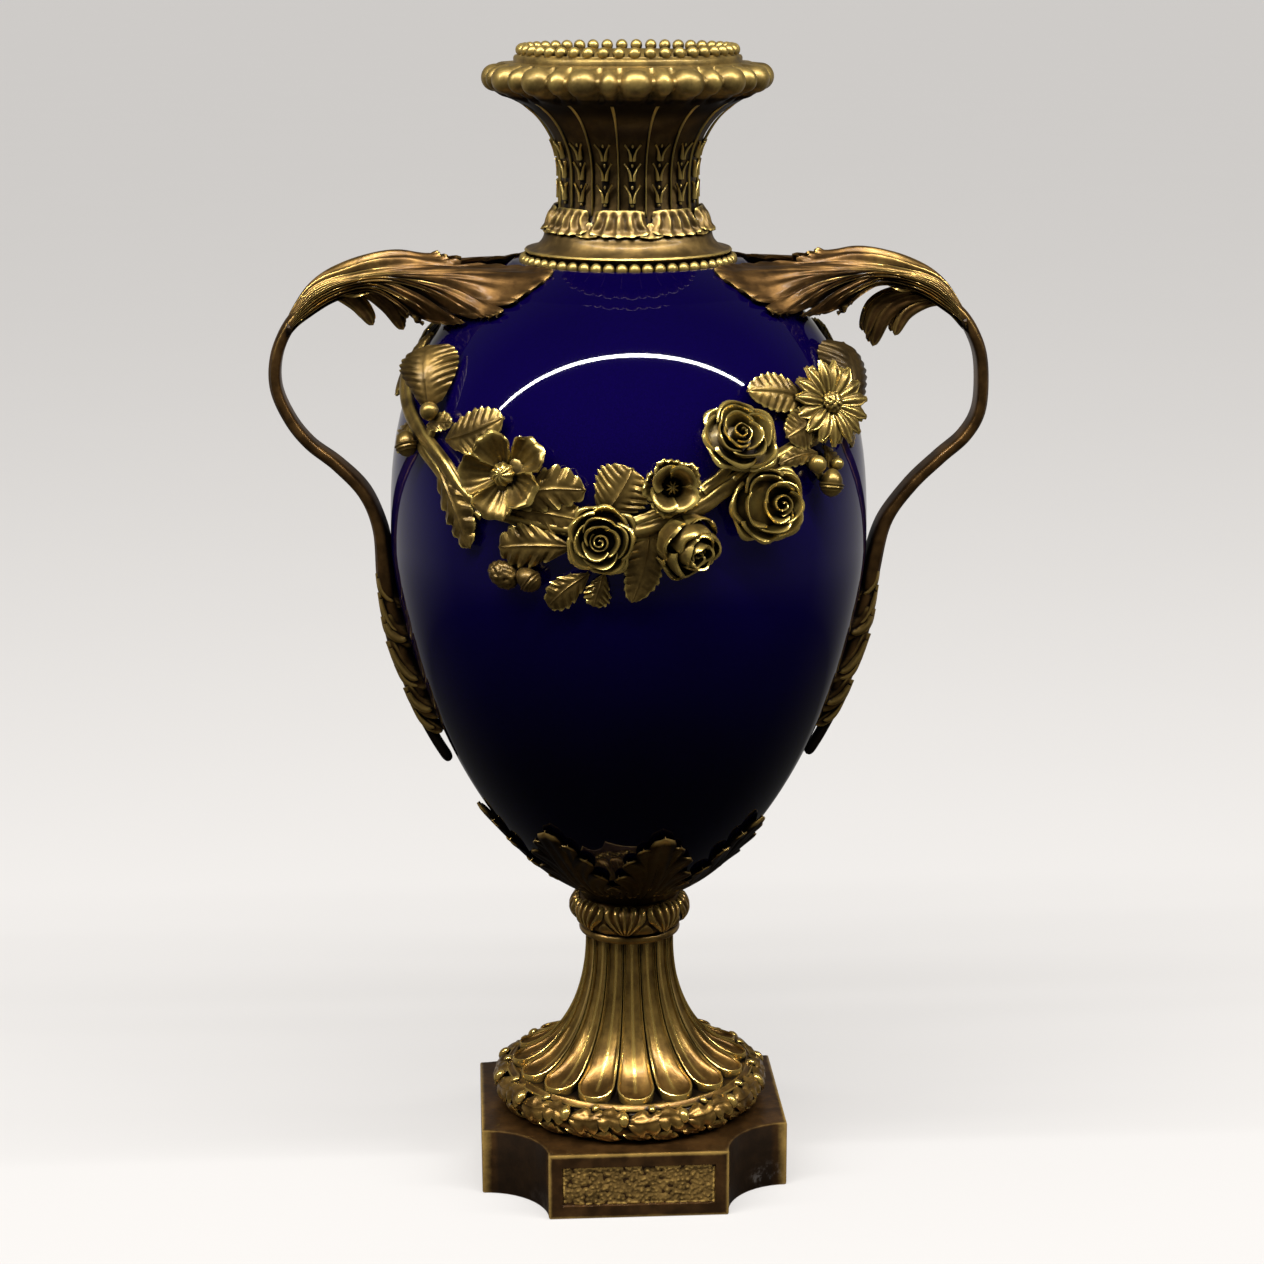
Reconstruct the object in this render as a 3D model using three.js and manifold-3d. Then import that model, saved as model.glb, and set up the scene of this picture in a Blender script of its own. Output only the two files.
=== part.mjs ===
// Urn vase: a glazed ovoid body in gilt bronze mounts, on a square plinth with hollowed corners.
//
// Millimetres, +Z up. The origin is the middle of the plinth's underside, the front faces -Y and the
// handles lie along X. Angles round the axis are counted from the front, positive towards +X.
// The bronze is cast in separate mounts, and each mount is one solid here.

import * as THREE from 'three';
import { mergeVertices } from 'three/addons/utils/BufferGeometryUtils.js';
import Module from 'manifold-3d';

const wasm = await Module();
wasm.setup();

// ---------------------------------------------------------------- driving dimensions

const GAP = 0.3;
const TURN = 2 * Math.PI;
const DEGREE = Math.PI / 180;

// Plinth: square block, a quarter round hollowed out of each corner.
const PLINTH_HALF = 82.8;
const PLINTH_FACE_HALF = 47.9;
const PLINTH_HEIGHT = 36.4;
const PLINTH_DRAFT = 0.006;
const PANEL_BORDER = 7;
const PANEL_DEPTH = 1.6;
const CORNER_STEPS = 5;

// Socle: wreath, fluted foot, astragal and knop.
const WREATH_RADIUS = 66;
const WREATH_SECTION = 9;
const WREATH_CLUSTERS = 14;
const FLUTES = 16;
const FLUTE_TIP_RADIUS = 65.2;
const FLUTE_TIP_HEIGHT = 59.5;
const STEM_RADIUS = 23.4;
const STEM_HEIGHT = 128;
const ASTRAGAL_RADIUS = 27.4;
const ASTRAGAL_HEIGHT = 134;
const KNOP_RADIUS = 32;
const KNOP_HEIGHT = 147.5;
const KNOP_TOP = 155;
const KNOP_LEAVES = 16;

// Calyx: a cup of acanthus leaves under the body.
const CALYX_LEAVES = 8;
const CALYX_FIRST_LEAF = 10.5 * DEGREE;
const CALYX_BASE_RADIUS = 27.5;
const CALYX_VALLEY = 175;
const CALYX_TIP = 207;
const CALYX_WALL = 4;
const CALYX_CLEARANCE = 1.5;
const CALYX_CURL = 1.8;

// Body: an ovoid shell. Its radius is greatest at the belly.
const BELLY_RADIUS = 125.6;
const BELLY_HEIGHT = 351;
const BODY_LOWER_REACH = 196.6;
const BODY_LOWER_POWER = 1.5;
const BODY_UPPER_REACH = 160.1;
const BODY_UPPER_POWER = 2.75;
const BODY_FOOT = 161;
const BODY_TOP = 499;
const BODY_WALL = 6;
const BODY_SEGMENTS = 32;
const LOWER_LEVELS = 6;
const UPPER_LEVELS = 5;
const HOLLOW_LOWER_LEVELS = 4;
const HOLLOW_UPPER_LEVELS = 3;

// Neck: bead ring, cavetto, leaf collar, panelled neck, gadrooned lip and top bead ring.
const BEAD_RING_RADIUS = 55.2;
const COLLAR_LEAF_RADIUS = 45.4;
const COLLAR_LEAVES = 16;
const NECK_RADIUS = 35.3;
const NECK_WAIST = 543.5;
const NECK_PANELS = 16;
const NECK_FLARE_WIDTH = 38;
const NECK_FLARE_REACH = 40;
const NECK_FLARE_SWEEP = 76;
const LIP_RADIUS = 74.8;
const LIP_SMALL_LOBE = 1.6;
const LIP_LOBES = 32;
const LIP_VALLEY = 2.4;
const FILLET_RADIUS = 58.3;
const TOP_RING_RADIUS = 56;
const HEIGHT = 610;
const THROAT_RADIUS = 31;
const MOUTH_RADIUS = 51;

// Handles: outer line of each strap in the plane of the handle, from the tail leaf up and over. The
// two were bent by hand and differ a little.
const STRAP_HALF_WIDTH = 8.5;
const STRAP_THICKNESS = 5;
const STRAP_RIGHT = [
  [131.5, 318], [133.7, 335], [139, 359], [151.5, 377], [166.5, 391.5], [179.5, 403], [187.2, 416.5],
  [188.8, 434], [186.6, 452], [178.5, 468.5], [165, 482], [149, 492.5],
];
const STRAP_LEFT = [
  [131.2, 318], [132.7, 335], [134, 359], [140.7, 377], [154, 391.5], [168.3, 403], [178.6, 416.5],
  [185.6, 434], [184.8, 452], [177.5, 468.5], [165, 482], [149, 492.5],
];
const TAIL_LINE = [[98.8, 229.3], [106.5, 242], [115, 259], [121.5, 276], [129, 298], [132.5, 321], [134, 338]];
const TAIL_HALF_WIDTH = 17;
const TAIL_THICKNESS = 4.5;

// Shoulder leaf of a handle: where the veins end, from the middle of the inner edge round the tip
// to the underside of the strap, as [out from the axis, across, height].
const LEAF_EDGE = [
  [58.5, 0, 500], [57, 22, 500.5], [50, 38, 499.5], [41.5, 48.5, 498], [52, 56, 489], [63, 57, 482.5],
  [76, 53, 477], [90, 42, 474], [101, 31, 474], [110, 22, 479], [121, 13, 485],
];
const LEAF_ROOT = [172, 476];
const LEAF_CREST = [132, 506];
const LEAF_THICKNESS = 3;
const LEAF_VEINS = 9;

// Garland: how far the flowers and leaves stand off the body.
const LIFT = 1.5;
const FLOWER_DEPTH = 10;
const PETAL_STEPS = 6;
const SPRIG_THICKNESS = 3.5;
const STEM_THICKNESS = 3;

// ---------------------------------------------------------------- solids from geometry

// Merges the shared corners of a geometry, drops slivers and turns its faces outwards.
function solid(geometry) {
  const bare = geometry.clone();
  bare.deleteAttribute('normal');
  bare.deleteAttribute('uv');
  const merged = mergeVertices(bare, 1e-4);
  const points = merged.getAttribute('position').array;
  const corners = [];
  const source = merged.getIndex().array;
  for (let i = 0; i < source.length; i += 3) {
    const [a, b, c] = [source[i], source[i + 1], source[i + 2]];
    if (a !== b && b !== c && a !== c) corners.push(a, b, c);
  }
  if (signedVolume(points, corners) < 0) corners.reverse();
  return new wasm.Manifold(new wasm.Mesh({
    numProp: 3,
    vertProperties: new Float32Array(points),
    triVerts: new Uint32Array(corners),
  }));
}

function signedVolume(points, corners) {
  const [a, b, c] = [new THREE.Vector3(), new THREE.Vector3(), new THREE.Vector3()];
  let volume = 0;
  for (let i = 0; i < corners.length; i += 3) {
    a.fromArray(points, 3 * corners[i]);
    b.fromArray(points, 3 * corners[i + 1]);
    c.fromArray(points, 3 * corners[i + 2]);
    volume += a.dot(b.cross(c)) / 6;
  }
  return volume;
}

function joined(solids) {
  return solids.reduce((whole, next) => whole.add(next));
}

function piece(name, body, material) {
  const { vertProperties, triVerts } = body.getMesh();
  const geometry = new THREE.BufferGeometry();
  geometry.setAttribute('position', new THREE.BufferAttribute(new Float32Array(vertProperties), 3));
  geometry.setIndex(new THREE.BufferAttribute(new Uint32Array(triVerts), 1));
  geometry.computeVertexNormals();
  const mesh = new THREE.Mesh(geometry, material);
  mesh.name = name;
  return mesh;
}

// A closed body between two grids of points. With wrap, the last column meets the first.
function shell(outer, inner, wrap = false) {
  const rows = outer.length;
  const columns = outer[0].length;
  const at = (side, row, column) => (side * rows + row) * columns + (column % columns);
  const corners = [];
  const quad = (a, b, c, d) => corners.push(a, b, c, a, c, d);
  const lastColumn = wrap ? columns : columns - 1;
  for (let row = 0; row < rows - 1; row += 1) {
    for (let column = 0; column < lastColumn; column += 1) {
      quad(at(0, row, column), at(0, row, column + 1), at(0, row + 1, column + 1), at(0, row + 1, column));
      quad(at(1, row, column), at(1, row + 1, column), at(1, row + 1, column + 1), at(1, row, column + 1));
    }
    if (!wrap) {
      quad(at(0, row, 0), at(0, row + 1, 0), at(1, row + 1, 0), at(1, row, 0));
      quad(at(0, row, lastColumn), at(1, row, lastColumn), at(1, row + 1, lastColumn), at(0, row + 1, lastColumn));
    }
  }
  for (let column = 0; column < lastColumn; column += 1) {
    quad(at(0, 0, column), at(1, 0, column), at(1, 0, column + 1), at(0, 0, column + 1));
    quad(at(0, rows - 1, column), at(0, rows - 1, column + 1), at(1, rows - 1, column + 1), at(1, rows - 1, column));
  }
  const geometry = new THREE.BufferGeometry();
  geometry.setFromPoints([...outer.flat(), ...inner.flat()]);
  geometry.setIndex(corners);
  return geometry;
}

// A grid of points from a function of (row fraction, column fraction).
function grid(rows, columns, place, wrap = false) {
  return Array.from({ length: rows }, (_, row) => Array.from({ length: columns }, (_, column) => (
    place(row / (rows - 1), column / (wrap ? columns : columns - 1))
  )));
}

// A profile of [radius, height] pairs turned about the axis. carve(angle, radius, height) gives the
// carved radius, so that flutes and lobes follow the turning.
function turned(profile, segments, carve = null) {
  const geometry = new THREE.LatheGeometry(profile.map(([r, z]) => new THREE.Vector2(r, z)), segments);
  geometry.rotateX(Math.PI / 2);
  if (carve) {
    const position = geometry.getAttribute('position');
    for (let i = 0; i < position.count; i += 1) {
      const radius = Math.hypot(position.getX(i), position.getY(i));
      if (radius > 1) {
        const angle = Math.atan2(position.getX(i), -position.getY(i));
        const scale = carve(angle, radius, position.getZ(i)) / radius;
        position.setXY(i, position.getX(i) * scale, position.getY(i) * scale);
      }
    }
  }
  return solid(geometry);
}

// Quarter ellipse of a flare: [radius, height] pairs from the waist to the wide end.
function flare(waistRadius, waistHeight, width, reach, steps, sweep = 90) {
  return Array.from({ length: steps + 1 }, (_, i) => {
    const lean = (i / steps) * ((sweep * Math.PI) / 180);
    return [waistRadius + width * (1 - Math.cos(lean)), waistHeight + reach * Math.sin(lean)];
  });
}

// Wave of a repeated lobe: 1 on the crest at the front, 0 in the valleys.
function lobeWave(angle, count) {
  return Math.abs(Math.cos((angle * count) / 2));
}

function smooth(low, high, value) {
  return THREE.MathUtils.smoothstep(value, low, high);
}

// ---------------------------------------------------------------- plinth

function plinth() {
  const outline = new THREE.Shape();
  const [half, face] = [PLINTH_HALF, PLINTH_FACE_HALF];
  const notch = half - face;
  outline.moveTo(-face, -half);
  outline.lineTo(face, -half);
  outline.absarc(half, -half, notch, Math.PI, Math.PI / 2, true);
  outline.lineTo(half, face);
  outline.absarc(half, half, notch, 1.5 * Math.PI, Math.PI, true);
  outline.lineTo(-face, half);
  outline.absarc(-half, half, notch, 0, -Math.PI / 2, true);
  outline.lineTo(-half, -face);
  outline.absarc(-half, -half, notch, Math.PI / 2, 0, true);
  const block = new THREE.ExtrudeGeometry(outline, {
    depth: PLINTH_HEIGHT,
    curveSegments: CORNER_STEPS,
    bevelEnabled: false,
  });
  const position = block.getAttribute('position');
  for (let i = 0; i < position.count; i += 1) {
    const spread = 1 + PLINTH_DRAFT * (1 - position.getZ(i) / PLINTH_HEIGHT);
    position.setXY(i, position.getX(i) * spread, position.getY(i) * spread);
  }
  let body = solid(block);
  for (let side = 0; side < 4; side += 1) {
    const panel = new THREE.BoxGeometry(
      2 * (face - PANEL_BORDER),
      2 * PANEL_DEPTH,
      PLINTH_HEIGHT - 2 * PANEL_BORDER,
    );
    panel.translate(0, -half, PLINTH_HEIGHT / 2);
    panel.rotateZ((side * Math.PI) / 2);
    body = body.subtract(solid(panel));
  }
  return body;
}

// ---------------------------------------------------------------- socle

function socle() {
  const base = PLINTH_HEIGHT + GAP;
  const wreathMiddle = base + WREATH_SECTION;
  const wreathArc = [-0.34, 0, 0.34].map((part) => [
    WREATH_RADIUS + WREATH_SECTION * Math.cos(part * Math.PI),
    wreathMiddle + WREATH_SECTION * Math.sin(part * Math.PI),
  ]);
  const wreath = turned(
    [[0, base], [WREATH_RADIUS + 2, base], ...wreathArc, [WREATH_RADIUS - 2, wreathMiddle + WREATH_SECTION],
      [0, wreathMiddle + WREATH_SECTION]],
    WREATH_CLUSTERS * 2,
    (angle, radius, height) => {
      const leafing = 1.6 * (lobeWave(angle, WREATH_CLUSTERS) - 0.6);
      return radius + (height > base + 1 && radius > WREATH_RADIUS ? leafing : 0);
    },
  );
  const rise = flare(STEM_RADIUS, 0, FLUTE_TIP_RADIUS - STEM_RADIUS, STEM_HEIGHT - FLUTE_TIP_HEIGHT, 5)
    .map(([radius, down]) => [radius, STEM_HEIGHT - down]);
  const flutes = turned(
    [[0, wreathMiddle], [FLUTE_TIP_RADIUS - 1, wreathMiddle], ...rise.reverse(), [STEM_RADIUS, ASTRAGAL_HEIGHT],
      [0, ASTRAGAL_HEIGHT]],
    FLUTES * 4,
    fluted,
  );
  const ring = turned(
    [[0, 130], [STEM_RADIUS, 130], [ASTRAGAL_RADIUS, ASTRAGAL_HEIGHT - 1.5],
      [ASTRAGAL_RADIUS, ASTRAGAL_HEIGHT + 1.2], [STEM_RADIUS + 1.2, ASTRAGAL_HEIGHT + 4], [0, ASTRAGAL_HEIGHT + 4]],
    24,
  );
  const knop = turned(
    [[0, 137], [STEM_RADIUS + 1.6, 137], [29.6, 141.5], [KNOP_RADIUS, KNOP_HEIGHT], [29, KNOP_TOP],
      [0, KNOP_TOP]],
    KNOP_LEAVES * 2,
    (angle, radius, height) => radius - (height > 138 ? 1.2 * (1 - lobeWave(angle, KNOP_LEAVES)) : 0),
  );
  return joined([wreath, flutes, ring, knop]);
}

// Spoon-shaped flutes: raised rims, a hollow between them and a groove between two flutes.
function fluted(angle, radius, height) {
  if (height < FLUTE_TIP_HEIGHT - 8) return radius;
  const quarter = Math.round((angle / TURN) * FLUTES * 4);
  const place = ((quarter % 4) + 4) % 4;
  const depth = radius * 0.035;
  if (place === 2) return radius - depth * 1.6;
  if (place === 0) return radius - depth * 0.9;
  return radius;
}

// ---------------------------------------------------------------- body and calyx

function bodyRadius(height) {
  if (height < BELLY_HEIGHT) {
    const down = (BELLY_HEIGHT - height) / BODY_LOWER_REACH;
    return BELLY_RADIUS * Math.sqrt(1 - down ** BODY_LOWER_POWER);
  }
  const up = (height - BELLY_HEIGHT) / BODY_UPPER_REACH;
  return BELLY_RADIUS * Math.sqrt(Math.max(0, 1 - up ** BODY_UPPER_POWER));
}

// Radius of the hollow, one wall inside the outer face.
function hollowRadius(height) {
  const reach = height < BELLY_HEIGHT ? BODY_LOWER_REACH : BODY_UPPER_REACH;
  const power = height < BELLY_HEIGHT ? BODY_LOWER_POWER : BODY_UPPER_POWER;
  const away = Math.abs(height - BELLY_HEIGHT) / (reach - BODY_WALL);
  return (BELLY_RADIUS - BODY_WALL) * Math.sqrt(Math.max(0, 1 - away ** power));
}

// Heights from one level to another, closer together towards the far end.
function levels(from, to, steps) {
  return Array.from({ length: steps + 1 }, (_, i) => from + (to - from) * Math.sin((i / steps) * (Math.PI / 2)));
}

// Heights of the body's rings, from its foot past the belly to its top.
function bodyLevels(foot, lowerSteps, upperSteps) {
  const below = levels(BELLY_HEIGHT, foot, lowerSteps).reverse();
  return [...below, ...levels(BELLY_HEIGHT, BODY_TOP, upperSteps).slice(1)];
}

function body() {
  const floor = BODY_FOOT + BODY_WALL;
  const outside = bodyLevels(BODY_FOOT, LOWER_LEVELS, UPPER_LEVELS).map((z) => [bodyRadius(z), z]);
  const inside = bodyLevels(floor, HOLLOW_LOWER_LEVELS, HOLLOW_UPPER_LEVELS).map((z) => [hollowRadius(z), z]);
  return turned([[0, BODY_FOOT], ...outside, ...inside.reverse(), [0, floor]], BODY_SEGMENTS);
}

// The body's outer face grown by a clearance, used to trim what lies on it.
function bodyClearance() {
  const rings = bodyLevels(BODY_FOOT, LOWER_LEVELS, UPPER_LEVELS);
  const outside = rings.map((z) => [bodyRadius(z) + 1.3 * GAP, z]);
  return turned([[0, BODY_FOOT - GAP], ...outside, [0, BODY_TOP + GAP]], BODY_SEGMENTS);
}

// Height of the calyx rim: one lobed acanthus tip for each leaf, a low valley between two leaves.
function calyxRim(angle) {
  const across = (((angle - CALYX_FIRST_LEAF) / TURN) * CALYX_LEAVES * 2) % 2;
  const fromMiddle = Math.abs(across > 1 ? across - 2 : across < -1 ? across + 2 : across);
  const width = Math.min(1, fromMiddle / 0.78);
  return CALYX_VALLEY + (CALYX_TIP - CALYX_VALLEY) * Math.sqrt(1 - width ** 2.2);
}

function calyx() {
  const columns = CALYX_LEAVES * 6;
  const base = KNOP_TOP + GAP;
  const seat = BODY_FOOT - GAP;
  const point = (radius, angle, height) => (
    new THREE.Vector3(radius * Math.sin(angle), -radius * Math.cos(angle), height)
  );
  const rise = (row, angle) => seat + (calyxRim(angle) - seat) * row;
  const outside = grid(4, columns, (row, column) => {
    const angle = column * TURN + CALYX_FIRST_LEAF;
    const height = base + (calyxRim(angle) - base) * row;
    const onCup = bodyRadius(Math.max(height, BODY_FOOT)) + CALYX_WALL + CALYX_CURL * row;
    return point(row === 0 ? CALYX_BASE_RADIUS : onCup, angle, height);
  }, true);
  const inside = grid(4, columns, (row, column) => {
    const angle = column * TURN + CALYX_FIRST_LEAF;
    const height = rise(row, angle);
    return point(bodyRadius(Math.max(height, BODY_FOOT)) + CALYX_CLEARANCE, angle, height);
  }, true);
  const axis = (height) => outside[0].map(() => new THREE.Vector3(0, 0, height));
  return solid(shell([axis(base), ...outside], [axis(seat), ...inside], true));
}

// ---------------------------------------------------------------- neck

function neck() {
  const seat = BODY_TOP + GAP;
  const collar = turned(
    [[0, seat], [53.6, seat], [BEAD_RING_RADIUS, seat + 2.4], [53.3, seat + 4.8], [47.6, seat + 8],
      [43, seat + 14.6], [0, seat + 14.6]],
    24,
  );
  const leaves = turned(
    [[0, 511], [42, 511], [COLLAR_LEAF_RADIUS, 514.5], [44, 519.5], [38.6, 526], [0, 526]],
    COLLAR_LEAVES * 2,
    (angle, radius, height) => (
      radius - (height > 512 && height < 522 ? 1.6 * (1 - lobeWave(angle, COLLAR_LEAVES)) : 0)
    ),
  );
  const spread = flare(NECK_RADIUS, NECK_WAIST, NECK_FLARE_WIDTH, NECK_FLARE_REACH, 4, NECK_FLARE_SWEEP);
  const panels = turned(
    [[0, 524], [NECK_RADIUS, 524], ...spread, [0, spread.at(-1)[1]]],
    NECK_PANELS * 2,
    (angle, radius, height) => (
      radius - (height < 575 ? 0.9 * (1 - lobeWave(angle + Math.PI / NECK_PANELS, NECK_PANELS)) : 0)
    ),
  );
  const lip = turned(
    [[0, 582], [61, 582], [71.5, 585.6], [LIP_RADIUS, 591], [70, 597.4], [62, 599.4], [0, 599.4]],
    LIP_LOBES * 2,
    gadrooned,
  );
  const rim = turned(
    [[0, 598], [FILLET_RADIUS, 598], [FILLET_RADIUS, 602.4], [TOP_RING_RADIUS, 604], [TOP_RING_RADIUS, 608.5],
      [54.8, HEIGHT], [0, HEIGHT]],
    24,
  );
  const throat = turned(
    [[0, seat - 1], [42, seat - 1], [THROAT_RADIUS, 516], [THROAT_RADIUS, 548], [34.5, 568],
      [46, 592], [MOUTH_RADIUS, 602], [MOUTH_RADIUS, HEIGHT + 1], [0, HEIGHT + 1]],
    20,
  );
  return joined([collar, leaves, panels, lip, rim]).subtract(throat);
}

// Gadrooned lip: large and small lobes take turns, with a groove between them.
function gadrooned(angle, radius, height) {
  if (radius < 64 || height > 599) return radius;
  const step = Math.round((angle / TURN) * LIP_LOBES * 2);
  const place = ((step % 4) + 4) % 4;
  if (place % 2 === 1) return radius - LIP_VALLEY;
  return place === 2 ? radius - LIP_SMALL_LOBE : radius;
}

// ---------------------------------------------------------------- handles

// Outward normal of a curve in the plane of the handle, from its tangent.
function outward(curve, part) {
  const tangent = curve.getTangent(part);
  return new THREE.Vector2(tangent.y, -tangent.x);
}

function strap(points) {
  const line = new THREE.SplineCurve(points.map(([out, up]) => new THREE.Vector2(out, up)));
  const place = (depth) => (row, column) => {
    const point = line.getPoint(row).addScaledVector(outward(line, row), -depth);
    return new THREE.Vector3(point.x, (2 * column - 1) * STRAP_HALF_WIDTH * (1 - 0.35 * smooth(0.85, 1, row)), point.y);
  };
  return solid(shell(grid(14, 2, place(0)), grid(14, 2, place(STRAP_THICKNESS))));
}

// Tail leaf: arched across, its long edges come down to the body.
function tail() {
  const line = new THREE.SplineCurve(TAIL_LINE.map(([out, up]) => new THREE.Vector2(out, up)));
  const halfWidth = (row) => 1.6 + TAIL_HALF_WIDTH * Math.sin(Math.PI * (0.06 + 0.8 * row)) ** 1.4;
  const place = (depth) => (row, column) => {
    const point = line.getPoint(row);
    const normal = outward(line, row);
    const across = 2 * column - 1;
    const y = across * halfWidth(row);
    const arch = Math.abs(across) ** 1.7 * halfWidth(row) * 0.72;
    const sunk = depth + arch;
    return new THREE.Vector3(point.x - normal.x * sunk, y, point.y - normal.y * sunk);
  };
  return solid(shell(grid(8, 5, place(0)), grid(8, 5, place(TAIL_THICKNESS))));
}

// One vein of the shoulder leaf: from the strap over the crest to its end on the leaf's edge.
function vein(part) {
  const edge = new THREE.CatmullRomCurve3(LEAF_EDGE.map((point) => new THREE.Vector3(...point)));
  const end = edge.getPoint(Math.abs(part));
  const side = Math.sign(part);
  const spread = Math.abs(part) * (STRAP_HALF_WIDTH - 1.5);
  const start = new THREE.Vector3(LEAF_ROOT[0], spread, LEAF_ROOT[1]);
  const crest = new THREE.Vector3(LEAF_CREST[0], spread * 1.5, LEAF_CREST[1] - 5 * Math.abs(part));
  const last = crest.clone().lerp(end, 0.62).setZ(Math.max(end.z + 2, crest.z - 5));
  const curve = new THREE.CubicBezierCurve3(start, crest, last, end);
  return (along) => {
    const point = curve.getPoint(along);
    point.y *= side;
    return point;
  };
}

function shoulderLeaf() {
  const veins = Array.from({ length: LEAF_VEINS }, (_, column) => vein((2 * column) / (LEAF_VEINS - 1) - 1));
  const place = (depth) => (row, column) => {
    const point = veins[Math.round(column * (LEAF_VEINS - 1))](row);
    point.z -= depth;
    return point;
  };
  return solid(shell(grid(6, LEAF_VEINS, place(0)), grid(6, LEAF_VEINS, place(LEAF_THICKNESS))));
}

// Small drooping leaf under the top of the strap.
function underLeaf() {
  const line = new THREE.QuadraticBezierCurve(
    new THREE.Vector2(160, 482),
    new THREE.Vector2(132, 490),
    new THREE.Vector2(114.5, 466),
  );
  const place = (depth) => (row, column) => {
    const point = line.getPoint(row);
    const across = 2 * column - 1;
    const width = 5 + 8 * Math.sin(Math.PI * Math.min(row, 0.75));
    return new THREE.Vector3(point.x, across * width, point.y - depth - 3 * across * across * row);
  };
  return solid(shell(grid(6, 4, place(0)), grid(6, 4, place(LEAF_THICKNESS))));
}

function handle(strapPoints, clearance) {
  return joined([strap(strapPoints), tail(), shoulderLeaf(), underLeaf()]).subtract(clearance);
}

// ---------------------------------------------------------------- garlands

// Frame on the body at an angle and height: X to the right, Y up the face, Z out of it.
function onBody(angle, height, roll = 0) {
  const radius = bodyRadius(height);
  const slope = bodyRadius(height + 0.5) - bodyRadius(height - 0.5);
  const right = new THREE.Vector3(Math.cos(angle), Math.sin(angle), 0);
  const up = new THREE.Vector3(Math.sin(angle) * slope, -Math.cos(angle) * slope, 1).normalize();
  const out = right.clone().cross(up);
  const frame = new THREE.Matrix4().makeBasis(right, up, out);
  frame.setPosition(Math.sin(angle) * radius, -Math.cos(angle) * radius, height);
  return frame.multiply(new THREE.Matrix4().makeRotationZ(roll));
}

// Flower head: a cupped disc of petals round a raised heart.
function flower({ angle, height, radius }) {
  const profile = [[0, LIFT], [radius * 0.6, LIFT], [radius, LIFT + FLOWER_DEPTH * 0.5],
    [radius * 0.7, LIFT + FLOWER_DEPTH * 0.8], [0, LIFT + FLOWER_DEPTH]];
  const geometry = new THREE.LatheGeometry(profile.map(([r, z]) => new THREE.Vector2(r, z)), PETAL_STEPS);
  geometry.rotateX(Math.PI / 2);
  geometry.applyMatrix4(onBody(angle * DEGREE, height));
  return solid(geometry);
}

// Berry or bud: a round knob close to the body.
function berry({ angle, height, radius }) {
  const geometry = new THREE.SphereGeometry(radius, 6, 4);
  geometry.rotateX(Math.PI / 2);
  geometry.translate(0, 0, radius + LIFT);
  geometry.applyMatrix4(onBody(angle * DEGREE, height));
  return solid(geometry);
}

// Leaf laid along the body from its base towards its tip.
function leaf({ from, to, width }) {
  const run = new THREE.Vector2((to[0] - from[0]) * DEGREE * BELLY_RADIUS, to[1] - from[1]).normalize();
  const place = (lift) => (row, column) => {
    const across = 2 * column - 1;
    const half = (width / 2) * Math.sin(Math.PI * (0.12 + 0.83 * row)) ** 0.7;
    const angle = (from[0] + (to[0] - from[0]) * row) * DEGREE - (run.y * across * half) / BELLY_RADIUS;
    const height = from[1] + (to[1] - from[1]) * row + run.x * across * half;
    const arch = 2.5 * Math.sin(Math.PI * row);
    return new THREE.Vector3(0, 0, lift + arch).applyMatrix4(onBody(angle, height));
  };
  return solid(shell(grid(3, 3, place(SPRIG_THICKNESS + LIFT)), grid(3, 3, place(LIFT))));
}

// Stem: a slim tube that follows the body through its points.
function stem(points) {
  const route = points.map(([angle, height]) => (
    new THREE.Vector3(0, 0, STEM_THICKNESS + LIFT).applyMatrix4(onBody(angle * DEGREE, height))
  ));
  const section = new THREE.Shape();
  section.absarc(0, 0, STEM_THICKNESS, 0, TURN);
  return solid(new THREE.ExtrudeGeometry(section, {
    steps: 2 * points.length - 3,
    curveSegments: 2,
    bevelEnabled: false,
    extrudePath: new THREE.CatmullRomCurve3(route),
  }));
}

const FRONT_STEMS = [
  [[-84, 452], [-70, 432], [-56, 414], [-42, 396], [-26, 384], [-8, 380]],
  [[-8, 380], [6, 390], [20, 403], [36, 416], [54, 428], [70, 440], [84, 452]],
  [[-56, 414], [-58, 431]],
  [[-56, 414], [-66, 414.5]],
  [[-20, 381], [-29, 361]],
  [[2, 384], [9, 375]],
  [[17, 402], [22, 424]],
  [[27, 411], [31, 395]],
  [[34, 416], [44, 407.5], [48, 400]],
];
const FRONT_FLOWERS = [
  { angle: -31.2, height: 406.6, radius: 21 },
  { angle: -9.2, height: 378.2, radius: 17.4 },
  { angle: 8.4, height: 376.4, radius: 16 },
  { angle: 5.8, height: 402.6, radius: 14 },
  { angle: 22, height: 422.4, radius: 19 },
  { angle: 27.4, height: 392.5, radius: 19.5 },
  { angle: 50, height: 432.6, radius: 20.5 },
];
const FRONT_BERRIES = [
  { angle: -57, height: 430, radius: 5.5 },
  { angle: -64, height: 413, radius: 7 },
  { angle: -31, height: 358.6, radius: 7 },
  { angle: -26.4, height: 358.4, radius: 5.8 },
  { angle: 42.3, height: 407, radius: 5.5 },
  { angle: 46.3, height: 398, radius: 7 },
];
const FRONT_LEAVES = [
  { from: [-62, 424], to: [-70, 462], width: 30 },
  { from: [-80, 458], to: [-86, 430], width: 18 },
  { from: [-54, 417], to: [-32, 434], width: 20 },
  { from: [-50, 406], to: [-39.5, 369], width: 17 },
  { from: [-26, 386], to: [-12, 405], width: 22 },
  { from: [-14, 379], to: [-31, 371], width: 18 },
  { from: [-8, 370], to: [-20, 346], width: 14 },
  { from: [-7, 384], to: [-5, 414], width: 26 },
  { from: [1, 384], to: [-3, 347], width: 15 },
  { from: [46, 428], to: [26, 445], width: 20 },
  { from: [66, 442], to: [84, 460], width: 28 },
  { from: [76, 444], to: [68, 410], width: 14 },
];

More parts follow.
